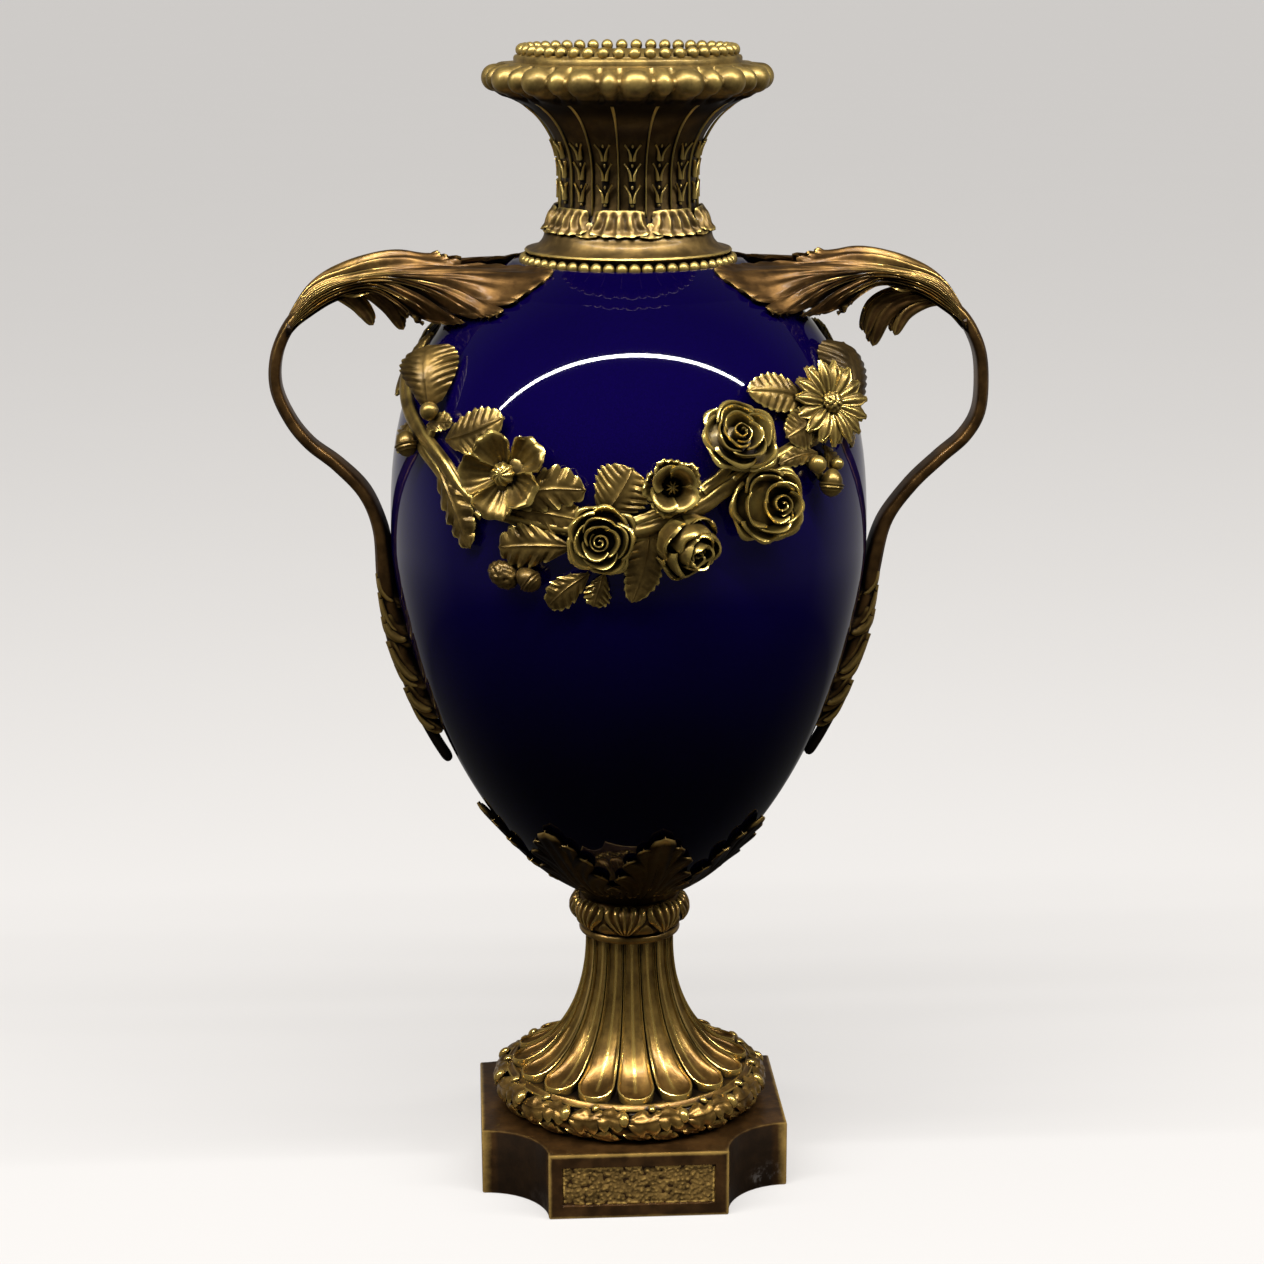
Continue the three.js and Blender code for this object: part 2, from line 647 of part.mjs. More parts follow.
// The hidden side carries a plainer swag on the same line.
const BACK_STEMS = [
  [[-84, 450], [-62, 424], [-38, 396], [-14, 380], [14, 380], [38, 396], [62, 424], [84, 450]],
];
const BACK_FLOWERS = [-50, 0, 50].map((angle) => ({
  angle,
  height: 381 + 0.0165 * angle * angle,
  radius: angle === 0 ? 20 : 18,
}));
const BACK_BERRIES = [-66, 66].map((angle) => ({
  angle,
  height: 372 + 0.0135 * angle * angle,
  radius: 6,
}));
const BACK_LEAVES = [-1, 1].flatMap((side) => [
  { from: [side * 60, 434], to: [side * 80, 458], width: 26 },
  { from: [side * 38, 398], to: [side * 24, 410], width: 22 },
  { from: [side * 34, 396], to: [side * 42, 364], width: 18 },
  { from: [side * 12, 382], to: [side * 20, 350], width: 16 },
]);

function garland(stems, flowers, berries, leaves) {
  return joined([
    ...stems.map(stem),
    ...flowers.map(flower),
    ...berries.map(berry),
    ...leaves.map(leaf),
  ]);
}

// ---------------------------------------------------------------- the vase

const bronze = new THREE.MeshStandardMaterial({ color: 0x8a6a2a, roughness: 0.35, metalness: 1 });
const darkBronze = new THREE.MeshStandardMaterial({ color: 0x4a3018, roughness: 0.4, metalness: 1 });
const cobaltGlaze = new THREE.MeshStandardMaterial({ color: 0x0a0650, roughness: 0.08, metalness: 0 });

const group = new THREE.Group();
group.add(piece('plinth', plinth(), darkBronze));
group.add(piece('socle', socle(), bronze));
group.add(piece('calyx', calyx(), darkBronze));
group.add(piece('body', body(), cobaltGlaze));
group.add(piece('neck', neck(), bronze));

const clearance = bodyClearance();
group.add(piece('handle_right', handle(STRAP_RIGHT, clearance), bronze));
const leftHandle = piece('handle_left', handle(STRAP_LEFT, clearance), bronze);
leftHandle.rotation.z = Math.PI;
group.add(leftHandle);

const frontSwag = garland(FRONT_STEMS, FRONT_FLOWERS, FRONT_BERRIES, FRONT_LEAVES);
const backSwag = garland(BACK_STEMS, BACK_FLOWERS, BACK_BERRIES, BACK_LEAVES);
group.add(piece('garland_front', frontSwag, bronze));
const backGarland = piece('garland_back', backSwag, bronze);
backGarland.rotation.z = Math.PI;
group.add(backGarland);

export default group;
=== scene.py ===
import math

import bmesh
import bpy
import numpy as np
from mathutils import Matrix
from mathutils.bvhtree import BVHTree


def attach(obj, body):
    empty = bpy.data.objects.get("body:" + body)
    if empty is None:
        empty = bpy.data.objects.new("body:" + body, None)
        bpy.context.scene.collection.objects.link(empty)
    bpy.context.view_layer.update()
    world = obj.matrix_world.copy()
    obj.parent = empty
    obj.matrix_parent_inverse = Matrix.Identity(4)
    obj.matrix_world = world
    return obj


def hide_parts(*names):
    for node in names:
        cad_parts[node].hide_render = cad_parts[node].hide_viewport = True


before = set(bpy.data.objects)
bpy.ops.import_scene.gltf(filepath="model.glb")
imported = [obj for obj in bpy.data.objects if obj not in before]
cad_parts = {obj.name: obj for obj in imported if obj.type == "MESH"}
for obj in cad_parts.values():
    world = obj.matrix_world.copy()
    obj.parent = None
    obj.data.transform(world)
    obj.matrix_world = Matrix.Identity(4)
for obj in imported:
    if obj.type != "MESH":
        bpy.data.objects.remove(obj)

bl_info = {
    "name": "Urn Vase",
    "version": (1, 0, 0),
    "blender": (4, 5, 0),
    "location": "View3D > Sidebar > Urn Vase",
    "description": "Models a glazed urn vase in gilt bronze mounts around its packed frame",
    "category": "Add Mesh",
}

# Metres, +Z up, the front faces -Y. Angles round the axis are counted from the front, in radians,
# positive towards +X. Each casting is one piece that stands for the CAD node of the same name.

TURN = 2 * math.pi
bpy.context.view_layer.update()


# ---- sizes and colours


def length(name, about, default):
    """A size in metres for the sidebar."""
    values = {"name": name, "description": about, "default": default}
    return bpy.props.FloatProperty(**values, unit="LENGTH", precision=4)


def count(name, about, default):
    """How many times a part repeats round the axis."""
    return bpy.props.IntProperty(name=name, description=about, default=default, min=3)


def colour(name, about, default):
    """A linear colour for the sidebar."""
    values = {"name": name, "description": about, "default": default}
    return bpy.props.FloatVectorProperty(**values, subtype="COLOR", size=3)


def group(kind):
    """The settings of one kind, held in the whole vase's."""
    return bpy.props.PointerProperty(type=kind)


class PlinthSizes(bpy.types.PropertyGroup):
    """Square block with hollowed corners and a stippled panel in each face."""

    half: length("Half width", "Half the width across the flats", 0.0828)
    face_half: length("Half face", "Half the width of one flat face", 0.0479)
    height: length("Height", "Height of the block", 0.0364)
    border: length("Panel border", "Flat border round a panel", 0.0066)
    recess: length("Panel recess", "Depth of a panel", 0.0015)


class SocleSizes(bpy.types.PropertyGroup):
    """Wreath, fluted foot, astragal and knop."""

    wreath_radius: length("Wreath radius", "Middle of the wreath", 0.066)
    wreath_section: length("Wreath section", "Radius of the wreath's section", 0.009)
    clusters: count("Wreath clusters", "Leaf clusters round the wreath", 14)
    flutes: count("Flutes", "Spoon flutes round the foot", 16)
    stem_radius: length("Stem radius", "Radius at the top of the flutes", 0.0234)
    stem_height: length("Stem height", "Height at which the foot starts to flare", 0.128)
    tip_radius: length("Tip radius", "Radius of the flute tips", 0.0652)
    tip_height: length("Tip height", "Height of the flute tips", 0.0595)
    knop_leaves: count("Knop leaves", "Fan leaves round the knop", 8)


class BodySizes(bpy.types.PropertyGroup):
    """Ovoid glazed shell."""

    belly_radius: length("Belly radius", "Greatest radius", 0.1256)
    belly_height: length("Belly height", "Height of the greatest radius", 0.351)
    lower_reach: length("Lower reach", "Drop from the belly to the ovoid's end", 0.1966)
    upper_reach: length("Upper reach", "Rise from the belly to the ovoid's end", 0.1601)
    foot: length("Foot", "Height of the underside", 0.161)
    top: length("Top", "Height of the shoulder opening", 0.499)
    wall: length("Wall", "Thickness of the shell", 0.006)


class CalyxSizes(bpy.types.PropertyGroup):
    """Cup of acanthus leaves under the body."""

    leaves: count("Leaves", "Acanthus leaves round the cup", 8)
    first_leaf: bpy.props.FloatProperty(
        name="First leaf",
        description="Angle of the leaf nearest the front",
        default=math.radians(9.6),
        unit="ROTATION",
    )
    tip: length("Tip", "Height of the leaf tips", 0.2142)


class NeckSizes(bpy.types.PropertyGroup):
    """Bead ring, cavetto, leaf collar, panelled neck, gadrooned lip and top bead ring."""

    radius: length("Neck radius", "Radius at the waist of the neck", 0.0353)
    waist: length("Waist", "Height at which the neck starts to flare", 0.5435)
    flare_width: length("Flare width", "How far the neck flares outwards", 0.038)
    flare_reach: length("Flare reach", "Height of the flare", 0.04)
    panels: count("Panels", "Panels round the neck", 16)
    lobes: count("Lip lobes", "Pairs of a large and a small lobe round the lip", 16)
    collar_leaves: count("Collar leaves", "Drooping leaves round the foot of the neck", 8)
    shoulder_beads: count("Shoulder beads", "Beads round the shoulder", 52)
    rim_beads: count("Rim beads", "Beads round the mouth", 44)
    mouth: length("Mouth radius", "Radius of the mouth", 0.051)
    throat: length("Throat radius", "Radius of the throat", 0.031)
    height: length("Height", "Top of the upper beads", 0.61)


class HandleSizes(bpy.types.PropertyGroup):
    """Scrolled strap with a shoulder leaf and a tail leaf."""

    strap_half: length("Strap half width", "Half the width of the strap", 0.0085)
    strap_thick: length("Strap thickness", "Thickness of the strap", 0.0058)
    tail_half: length("Tail half width", "Half the width of the tail leaf", 0.0165)


class FinishColours(bpy.types.PropertyGroup):
    """Colours of the metal and the glaze."""

    gold: colour("Gold", "Rubbed crests of the gilt bronze", (0.62, 0.445, 0.125))
    bronze: colour("Bronze", "Open faces of the bronze", (0.185, 0.113, 0.034))
    # Umber is the dark wax in the hollows of the bronze and also its painted shade.
    wax_and_shade_umber: colour("Umber", "Hollows of the bronze", (0.012, 0.007, 0.0035))
    cobalt: colour("Cobalt", "Glaze on the upper body", (0.0019, 0.0003, 0.03))
    # The dark glaze of the lower body is painted shade; it also colours the speckle.
    glaze_shade_and_speckle: colour("Midnight", "Glaze on the lower body", (0.0003, 0.0002, 0.0016))
    studio: colour("Studio", "Floor and surroundings", (0.2, 0.194, 0.188))


class VaseSettings(bpy.types.PropertyGroup):
    """Everything a user would change."""

    plinth: group(PlinthSizes)
    socle: group(SocleSizes)
    body: group(BodySizes)
    calyx: group(CalyxSizes)
    neck: group(NeckSizes)
    handle: group(HandleSizes)
    finish: group(FinishColours)


def settings():
    return bpy.context.scene.urn_vase


# ---- working on meshes

# Vertices closer than this are one.
MERGE_DISTANCE = 1e-6


def rest_all():
    """Leaves edit mode and deselects everything."""
    if bpy.context.object and bpy.context.object.mode != "OBJECT":
        bpy.ops.object.mode_set(mode="OBJECT")
    bpy.ops.object.select_all(action="DESELECT")


def pick(*pieces):
    """Selects these pieces only, the first one active."""
    rest_all()
    for piece in pieces:
        piece.select_set(True)
    bpy.context.view_layer.objects.active = pieces[0]


def added(name, operator, **values):
    """Adds a primitive, a lamp or a camera by its operator and names it."""
    rest_all()
    operator(**values)
    piece = bpy.context.object
    piece.name = name
    return piece


def edit_all(piece):
    """Enters edit mode with all of one piece selected."""
    pick(piece)
    bpy.ops.object.mode_set(mode="EDIT")
    bpy.ops.mesh.select_all(action="SELECT")


def corners(piece):
    """The piece's vertices as rows of x, y, z."""
    flat = np.empty(3 * len(piece.data.vertices))
    piece.data.vertices.foreach_get("co", flat)
    return flat.reshape(-1, 3)


def move_corners(piece, places):
    piece.data.vertices.foreach_set("co", np.ascontiguousarray(places, dtype=np.float32).ravel())
    piece.data.update()


def applied(piece, kind, **values):
    """Adds a modifier, sets its values and applies it."""
    modifier = piece.modifiers.new(kind.title(), kind)
    for name, value in values.items():
        setattr(modifier, name, value)
    pick(piece)
    bpy.ops.object.modifier_apply(modifier=modifier.name)
    return piece


def thickened(piece, thickness):
    """Gives an open sheet a wall on its inner side."""
    return applied(piece, "SOLIDIFY", thickness=thickness, offset=-1)


def joined(name, parts):
    """One piece of all the parts."""
    pick(*parts)
    if len(parts) > 1:
        bpy.ops.object.join()
    whole = bpy.context.object
    whole.name = name
    whole.data.name = name
    return whole


def copied(pattern):
    """A copy with its own mesh."""
    twin = pattern.copy()
    twin.data = pattern.data.copy()
    bpy.context.collection.objects.link(twin)
    return twin


def mirrored(piece):
    """A copy on the other side of the plane of the handles."""
    twin = copied(piece)
    move_corners(twin, corners(twin) * (1, -1, 1))
    return twin


def dropped(pattern):
    bpy.data.objects.remove(pattern)


def gilded_and_shaded(piece, share):
    """Stores how much more gold a part shows than the rest of its casting, less where negative; a strongly
    negative share paints it dark, used as painted shade.
    """
    marks = piece.data.attributes.new("gilt_and_shade", "FLOAT", "POINT")
    shares = np.zeros(len(piece.data.vertices)) + share
    marks.data.foreach_set("value", shares.astype(np.float32))
    return piece


def surface(name, across, along, place):
    """A grid shaped by place(u, v), where u runs across and v along it, both from 0 to 1."""
    grid = bpy.ops.mesh.primitive_grid_add
    sheet = added(name, grid, x_subdivisions=across, y_subdivisions=along, size=1)
    flat = corners(sheet)
    move_corners(sheet, place(flat[:, 0] + 0.5, flat[:, 1] + 0.5))
    return sheet


def sealed(piece):
    """Merges doubled vertices, drops stray edges and turns the faces outwards."""
    edit_all(piece)
    bpy.ops.mesh.remove_doubles(threshold=MERGE_DISTANCE)
    bpy.ops.mesh.select_all(action="SELECT")
    bpy.ops.mesh.delete_loose()
    bpy.ops.mesh.select_all(action="SELECT")
    bpy.ops.mesh.normals_make_consistent(inside=False)
    bpy.ops.object.mode_set(mode="OBJECT")
    return piece


def outwards(piece):
    """Turns a closed shell round where recalculating its normals left it inside out."""
    shape = bmesh.new()
    shape.from_mesh(piece.data)
    inside_out = shape.calc_volume(signed=True) < 0
    shape.free()
    if inside_out:
        edit_all(piece)
        bpy.ops.mesh.flip_normals()
        rest_all()
    return piece


def capped(piece):
    """Closes the open ends of a tube."""
    sealed(piece)
    edit_all(piece)
    bpy.ops.mesh.select_mode(type="EDGE")
    bpy.ops.mesh.select_all(action="DESELECT")
    bpy.ops.mesh.select_non_manifold()
    bpy.ops.mesh.edge_face_add()
    bpy.ops.object.mode_set(mode="OBJECT")
    return sealed(piece)


def turned(name, profile, segments, carve=None):
    """A closed profile of (radius, height) pairs spun round the axis. carve(angle, radius, height)
    gives each vertex its carved radius and height."""
    ring = added(name, bpy.ops.mesh.primitive_circle_add, vertices=len(profile), fill_type="NOTHING")
    move_corners(ring, [(0, -radius, height) for radius, height in profile])
    edit_all(ring)
    bpy.ops.mesh.spin(steps=segments, angle=TURN, center=(0, 0, 0), axis=(0, 0, 1))
    sealed(ring)
    if carve:
        xyz = corners(ring)
        angle = np.arctan2(xyz[:, 0], -xyz[:, 1])
        radius, height = carve(angle, np.hypot(xyz[:, 0], xyz[:, 1]), xyz[:, 2])
        move_corners(ring, round_axis(radius, angle, height))
    return ring


def round_axis(radius, angle, height):
    """Places from a radius, an angle from the front and a height."""
    return np.column_stack([radius * np.sin(angle), -radius * np.cos(angle), height])


def ball(name, radius, rings=8, segments=12):
    sphere = bpy.ops.mesh.primitive_uv_sphere_add
    return added(name, sphere, segments=segments, ring_count=rings, radius=radius)


def bead_row(name, radius, ring_radius, height, beads):
    """Equal beads side by side round the axis, each a little narrow so that they stay apart."""
    narrow = 0.985
    pattern = ball(name, radius)
    move_corners(pattern, corners(pattern) * (narrow, 1, 1))
    parts = []
    for k in range(beads):
        bead = copied(pattern)
        angle = TURN * k / beads
        place = round_axis(np.array([ring_radius]), np.array([angle]), np.array([height]))[0]
        bead.data.transform(Matrix.Translation(place) @ Matrix.Rotation(angle, 4, "Z"))
        parts.append(bead)
    dropped(pattern)
    return joined(name, parts)


def smooth(low, high, value):
    """Soft step from 0 at low to 1 at high."""
    part = np.clip((value - low) / (high - low), 0, 1)
    return part * part * (3 - 2 * part)


def arc(centre, radius, start, end, steps):
    """(radius, height) pairs on an arc, its angles in degrees from outwards, positive upwards."""
    turns = np.radians(np.linspace(start, end, steps + 1))
    return [(centre[0] + radius * math.cos(t), centre[1] + radius * math.sin(t)) for t in turns]


def quarter_flare(waist_radius, waist_height, width, reach, steps, sweep=90):
    """(radius, height) pairs of a quarter ellipse, from the waist towards the wide end."""
    leans = np.radians(np.linspace(0, sweep, steps + 1))
    return [(waist_radius + width * (1 - math.cos(a)), waist_height + reach * math.sin(a)) for a in leans]


class Face:
    """The outer face of a turned piece, on which leaves and flowers are laid."""

    def __init__(self, profile, downwards=False):
        points = np.array(profile, float)
        steps = np.hypot(*np.diff(points, axis=0).T)
        coarse = np.concatenate([[0], np.cumsum(steps)])
        self.run = np.linspace(0, coarse[-1], 400)
        self.radius = np.interp(self.run, coarse, points[:, 0])
        self.height = np.interp(self.run, coarse, points[:, 1])
        self.ahead = np.gradient(self.radius, self.run), np.gradient(self.height, self.run)
        self.side = -1 if downwards else 1

    def run_at(self, height):
        """How far along the profile a height lies."""
        return float(self.run[np.argmin(np.abs(self.height - height))])

    def place(self, angle, run, lift):
        """Places at an angle and a distance along the profile, lifted off the face."""
        radius = np.interp(run, self.run, self.radius)
        height = np.interp(run, self.run, self.height)
        outwards = np.interp(run, self.run, self.ahead[0])
        upwards = np.interp(run, self.run, self.ahead[1])
        beyond = run - np.clip(run, 0, self.run[-1])
        radius = radius + beyond * outwards + self.side * lift * upwards
        height = height + beyond * upwards - self.side * lift * outwards
        return round_axis(radius, angle, height)

    def lay(self, piece, angle, run, roll=0.0, lift=0.0):
        """Bends a flat piece onto the face: its X goes round, its Y up the profile, its Z outwards."""
        flat = corners(piece)
        east = flat[:, 0] * math.cos(roll) - flat[:, 1] * math.sin(roll)
        north = flat[:, 0] * math.sin(roll) + flat[:, 1] * math.cos(roll)
        radius = np.interp(run + north, self.run, self.radius)
        move_corners(piece, self.place(angle + east / radius, run + north, flat[:, 2] + lift))
        return piece

    def stand(self, piece, angle, run, roll=0.0, lift=0.0, turn=0.0):
        """Stands a piece on the face, its Z outwards, turned to the front by a part of its angle."""
        facing = angle * (1 - turn)
        outwards, upwards = (float(np.interp(run, self.run, way)) for way in self.ahead)
        size = math.hypot(outwards, upwards)
        lean = math.atan2(outwards, upwards) if size else 0.0
        place = self.place(np.array([angle]), np.array([run]), np.array([lift]))[0]
        upright = Matrix.Rotation(facing, 4, "Z") @ Matrix.Rotation(math.pi / 2 + lean, 4, "X")
        piece.data.transform(Matrix.Translation(place) @ upright @ Matrix.Rotation(roll, 4, "Z"))
        return piece


def between(before, start, end, after, t):
    """Places between start and end, at part t, on a smooth line through four points."""
    slope_in, slope_out = (end - before) / 2, (after - start) / 2
    return (
        (2 * t**3 - 3 * t**2 + 1) * start
        + (t**3 - 2 * t**2 + t) * slope_in
        + (3 * t**2 - 2 * t**3) * end
        + (t**3 - t**2) * slope_out
    )


def smooth_line(points, part):
    """Places on a smooth line through the points, at parts of its length from 0 to 1."""
    points = np.array(points, float)
    last = len(points) - 1
    spot = np.clip(np.asarray(part, float), 0, 1) * last
    index = np.minimum(spot.astype(int), last - 1)
    near = (points[np.clip(index + k, 0, last)] for k in (-1, 0, 1, 2))
    return between(*near, (spot - index)[:, None])


def leaf(
    name, reach, width, lobes, notch, saw, belly, sweep, crown, ridge, rib, curl, side_curl, wall, detail,
    across, stalk, bow=0.0,
):
    """A toothed leaf on the flat, its base at the origin and its tip towards +Y, with rounded ridges
    from the midrib to the teeth. notch is the depth between two teeth, saw sharpens them, belly is
    where the leaf is widest, sweep leans its ridges forwards, crown arches it, ridge and rib raise its
    veins and midrib, the curls lift its tip and edges, and bow bends all of it sideways."""
    half_width = width / 2

    def place(u, v):
        side = 2 * u - 1
        away = np.abs(side)
        power = math.log(0.5) / math.log(belly)
        outline = stalk + (1 - stalk) * np.sin(math.pi * v**power) ** 0.75
        outline = outline * np.sqrt(np.clip(1 - smooth(0.9, 1.0, v) ** 1.5, 0, 1)) + 0.02
        phase = lobes * v + 0.12 * np.sign(side)
        part = (phase - np.floor(phase)) ** saw
        tooth = np.sin(math.pi * np.clip(part, 0, 1)) ** 0.7
        extent = half_width * outline * (1 - notch * (1 - tooth) + 0.05 * np.sin(5 * v + 2 * np.sign(side)))
        x = np.sign(side) * extent * away + bow * reach * np.sin(math.pi * v)
        y = reach * v + sweep * extent * away**1.25 * (1 - 0.75 * v)
        arch = crown * half_width * (1 - away**2) * np.sin(math.pi * np.clip(v, 0.02, 0.98)) ** 0.5
        row = np.abs(np.sin(math.pi * (phase - 0.12 * away)))
        strength = smooth(0.06, 0.55, away) * outline * (0.8 + 0.3 * np.sin(2.3 * phase + 2 * side))
        veins = ridge * half_width * (row**0.8 - 0.6) * strength
        veins += 0.16 * ridge * half_width * np.cos(TURN * 3 * phase) * strength
        midrib = np.exp(-((away / 0.07) ** 2)) - 0.7 * np.exp(-((away / 0.2) ** 2))
        midrib *= rib * half_width * (1 - 0.7 * v)
        lift = curl * half_width * v**3 + side_curl * half_width * away**3 * outline
        return np.column_stack([x, y, arch + veins + midrib + lift])

    return thickened(surface(name, 2 * across, lobes * detail, place), wall)


def finger(
    line, width, crown, groove=0.0, curl=0.0, root=0.5, widest=0.62, wall=0.0014, across=8, along=16
):
    """A rounded blade on the flat along a line of (x, y) points: narrow at its root, widest near its
    tip, arched or grooved along its middle, its end curled up. Heights are parts of its width."""

    def place(u, v):
        side = 2 * u - 1
        centre = smooth_line(line, v)
        ahead = smooth_line(line, v + 0.02) - smooth_line(line, v - 0.02)
        ahead /= np.maximum(np.linalg.norm(ahead, axis=1), 1e-9)[:, None]
        swell = root + (1 - root) * smooth(0, widest, v)
        end = np.sqrt(np.clip(1.001 - (np.clip(v - widest, 0, 1) / (1 - widest)) ** 2, 0, 1))
        half = width / 2 * swell * end
        lift = crown * (1 - side**2) * (0.35 + 0.65 * end) - groove * np.exp(-((side / 0.35) ** 2)) * end
        lift += curl * smooth(0.45, 1.0, v) ** 2
        x = centre[:, 0] + ahead[:, 1] * side * half
        y = centre[:, 1] - ahead[:, 0] * side * half
        return np.column_stack([x, y, width * lift])

    return thickened(surface("finger", across, along, place), wall)


def frond(name, rows):
    """Fingers side by side and in mirrored pairs: each row is a line of (x, y) points, a width and the
    finger's other values. A line that starts on the middle and stays there is a single finger."""
    parts = []
    for line, width, values in rows:
        single = all(x == 0 for x, _ in line)
        for side in (1,) if single else (1, -1):
            parts.append(finger([(side * x, y) for x, y in line], width, **values))
    return joined(name, parts)


# ---- plinth


def plinth_outline(sizes, steps=12):
    """Corners of the plan: four flats joined by quarter rounds hollowed out of the corners."""
    half, face = sizes.half, sizes.face_half
    notch = half - face
    outline = []
    for side in range(4):
        turn = side * TURN / 4
        points = [(-face, -half)]
        for k in range(steps + 1):
            swing = math.pi - k * math.pi / 2 / steps
            points.append((half + notch * math.cos(swing), -half + notch * math.sin(swing)))
        for x, y in points[:-1]:
            east = x * math.cos(turn) - y * math.sin(turn)
            outline.append((east, x * math.sin(turn) + y * math.cos(turn)))
    return outline


def select_faces(piece, wanted):
    """Selects the faces for which wanted(face) holds, and nothing else, in edit mode."""
    rest_all()
    mesh = piece.data
    for items in (mesh.vertices, mesh.edges, mesh.polygons):
        items.foreach_set("select", np.zeros(len(items), bool))
    for face in mesh.polygons:
        face.select = bool(wanted(face))
    pick(piece)
    bpy.ops.object.mode_set(mode="EDIT")
    bpy.ops.mesh.select_mode(type="FACE")


def plinth_block(sizes):
    """Block pulled up from its plan, its edges rounded and a bordered panel sunk in each flat face."""
    outline = plinth_outline(sizes)
    block = added("plinth", bpy.ops.mesh.primitive_circle_add, vertices=len(outline), fill_type="NGON")
    move_corners(block, [(x, y, 0) for x, y in outline])
    edit_all(block)
    bpy.ops.mesh.extrude_region_move(TRANSFORM_OT_translate={"value": (0, 0, sizes.height)})
    sealed(block)
    applied(block, "BEVEL", width=0.001, segments=2, limit_method="ANGLE", angle_limit=math.radians(30))
    flat_area = 1.6 * sizes.face_half * 0.8 * sizes.height
    select_faces(block, lambda face: abs(face.normal.z) < 0.5 and face.area > flat_area)
    for step, depth in ((0.0012, 0), (sizes.border - 0.0024, 0), (0.0007, 0), (0.0005, -sizes.recess)):
        bpy.ops.mesh.inset(thickness=step, depth=depth, use_individual=True)
    select_faces(block, lambda face: abs(face.normal.z) > 0.9 and face.area > sizes.half**2)
    bpy.ops.mesh.inset(thickness=0.0014, use_individual=True)
    rest_all()
    return block


def stippled_panel(sizes):
    """Cast stipple of a panel: round grains of uneven size, crowded together."""
    clear = 0.0011
    grains = 760
    across = sizes.face_half - sizes.border - clear
    up = sizes.height / 2 - sizes.border - clear
    chance = np.random.default_rng(4)
    seeds = chance.uniform((-across, -up), (across, up), (grains, 2))
    swell = chance.uniform(0.35, 1.0, grains)

    def place(u, v):
        x = (2 * u - 1) * across
        z = (2 * v - 1) * up
        height = np.zeros(len(x))
        for (seed_x, seed_z), size in zip(seeds, swell):
            near = np.exp(-((x - seed_x) ** 2 + (z - seed_z) ** 2) / (0.00074 + 0.0003 * size) ** 2)
            height = np.maximum(height, near * size)
        y = -sizes.half + sizes.recess + 0.0001 - 0.0011 * height
        return np.column_stack([x, y, z + sizes.height / 2])

    return gilded_and_shaded(thickened(surface("panel", 150, 42, place), 0.0006), 0.42)


def make_plinth():
    """The block, with painted shade in its hollowed corners, and a stippled panel on each side."""
    sizes = settings().plinth
    panel = stippled_panel(sizes)
    block = plinth_block(sizes)
    spots = corners(block)
    into_corner = np.min(np.abs(spots[:, :2]), axis=1) - sizes.face_half
    upright = np.abs(spots[:, 2] - sizes.height / 2) < sizes.height / 2 - 0.0006
    # Painted shade on the upright faces of the hollowed corners.
    parts = [gilded_and_shaded(block, -0.7 * upright * smooth(0.00005, 0.001, into_corner))]
    for side in range(4):
        turned_panel = copied(panel)
        turned_panel.data.transform(Matrix.Rotation(side * TURN / 4, 4, "Z"))
        parts.append(turned_panel)
    dropped(panel)
    return joined("plinth_casting", parts)


# ---- socle

# Height of the flutes' upper ends, under the astragal.
FLUTE_TOP = 0.1325


def foot_flare(sizes, steps=40):
    """Profile of the foot from under the astragal down to the flute tips."""
    width = sizes.tip_radius - sizes.stem_radius
    reach = sizes.stem_height - sizes.tip_height
    down = quarter_flare(sizes.stem_radius, 0, width, reach, steps)
    return [(sizes.stem_radius, FLUTE_TOP)] + [(r, sizes.stem_height - d) for r, d in down]


# Height of a flute above the flare, in mm, from its outer wall over the thin rim to its middle.
FLUTE_SECTION = [
    (0.0, -3.2), (0.03, 0.6), (0.05, 1.3), (0.075, 1.25), (0.105, 0.1), (0.2, -1.0), (0.4, -2.0),
    (0.7, -2.5), (1.0, -2.7),
]


def flute(sizes, face):
    """One spoon flute: a hollow channel inside a thin raised rim that runs round its tip."""
    half_turn = math.pi / sizes.flutes * 0.965
    whole = face.run[-1]
    tip_radius = half_turn * float(np.interp(whole * 0.88, face.run, face.radius))
    straight = whole - tip_radius
    arc_share = 0.24
    insets, heights = np.array(FLUTE_SECTION).T

    def place(u, v):
        along = np.where(u < 0.5, u, 1 - u) / (0.5 - arc_share / 2)
        side = np.where(u < 0.5, -1.0, 1.0)
        on_arc = along > 1
        run_mid = np.clip(along, 0, 1) * straight
        half = half_turn * np.interp(run_mid, face.run, face.radius)
        swing = (u - 0.5) / arc_share * math.pi
        across = np.where(on_arc, tip_radius * np.sin(swing), side * half)
        forward = np.where(on_arc, tip_radius * np.cos(swing), 0.0)
        inset = v**1.6
        size = np.clip(half / 0.009, 0.62, 1.0)
        lift = np.interp(inset, insets, heights) * np.where(inset < 0.03, 1.0, size) * 0.001
        run = run_mid + forward * (1 - inset)
        droop = -0.0012 * smooth(straight, whole, run)
        return face.place(across * (1 - inset) / np.interp(run, face.run, face.radius), run, lift + droop)

    return thickened(surface("flute", 60, 15, place), 0.0012)


# Leaves of the wreath: start east and up in mm, lean from level in degrees, reach and width in mm.
WREATH_LEAVES = [
    (5, 5.5, 22, 17, 11), (5, -6.0, -24, 17, 11), (19, 7.0, 24, 14, 10), (19, -6.5, -20, 16, 10.5),
    (6, 0.0, 3, 21, 13), (20, 1.5, -5, 18, 12),
]
# Berries of the wreath: east, up and radius in mm.
WREATH_BERRIES = [(5.5, 0.8, 2.8), (20.0, 5.5, 2.2)]
WREATH_BLADE = dict(
    lobes=2, notch=0.42, saw=1.2, belly=0.42, sweep=0.55, crown=0.3, ridge=0.3, rib=0.2, curl=0.06,
    side_curl=0.08, wall=0.0012, detail=8, across=7, stalk=0.22,
)


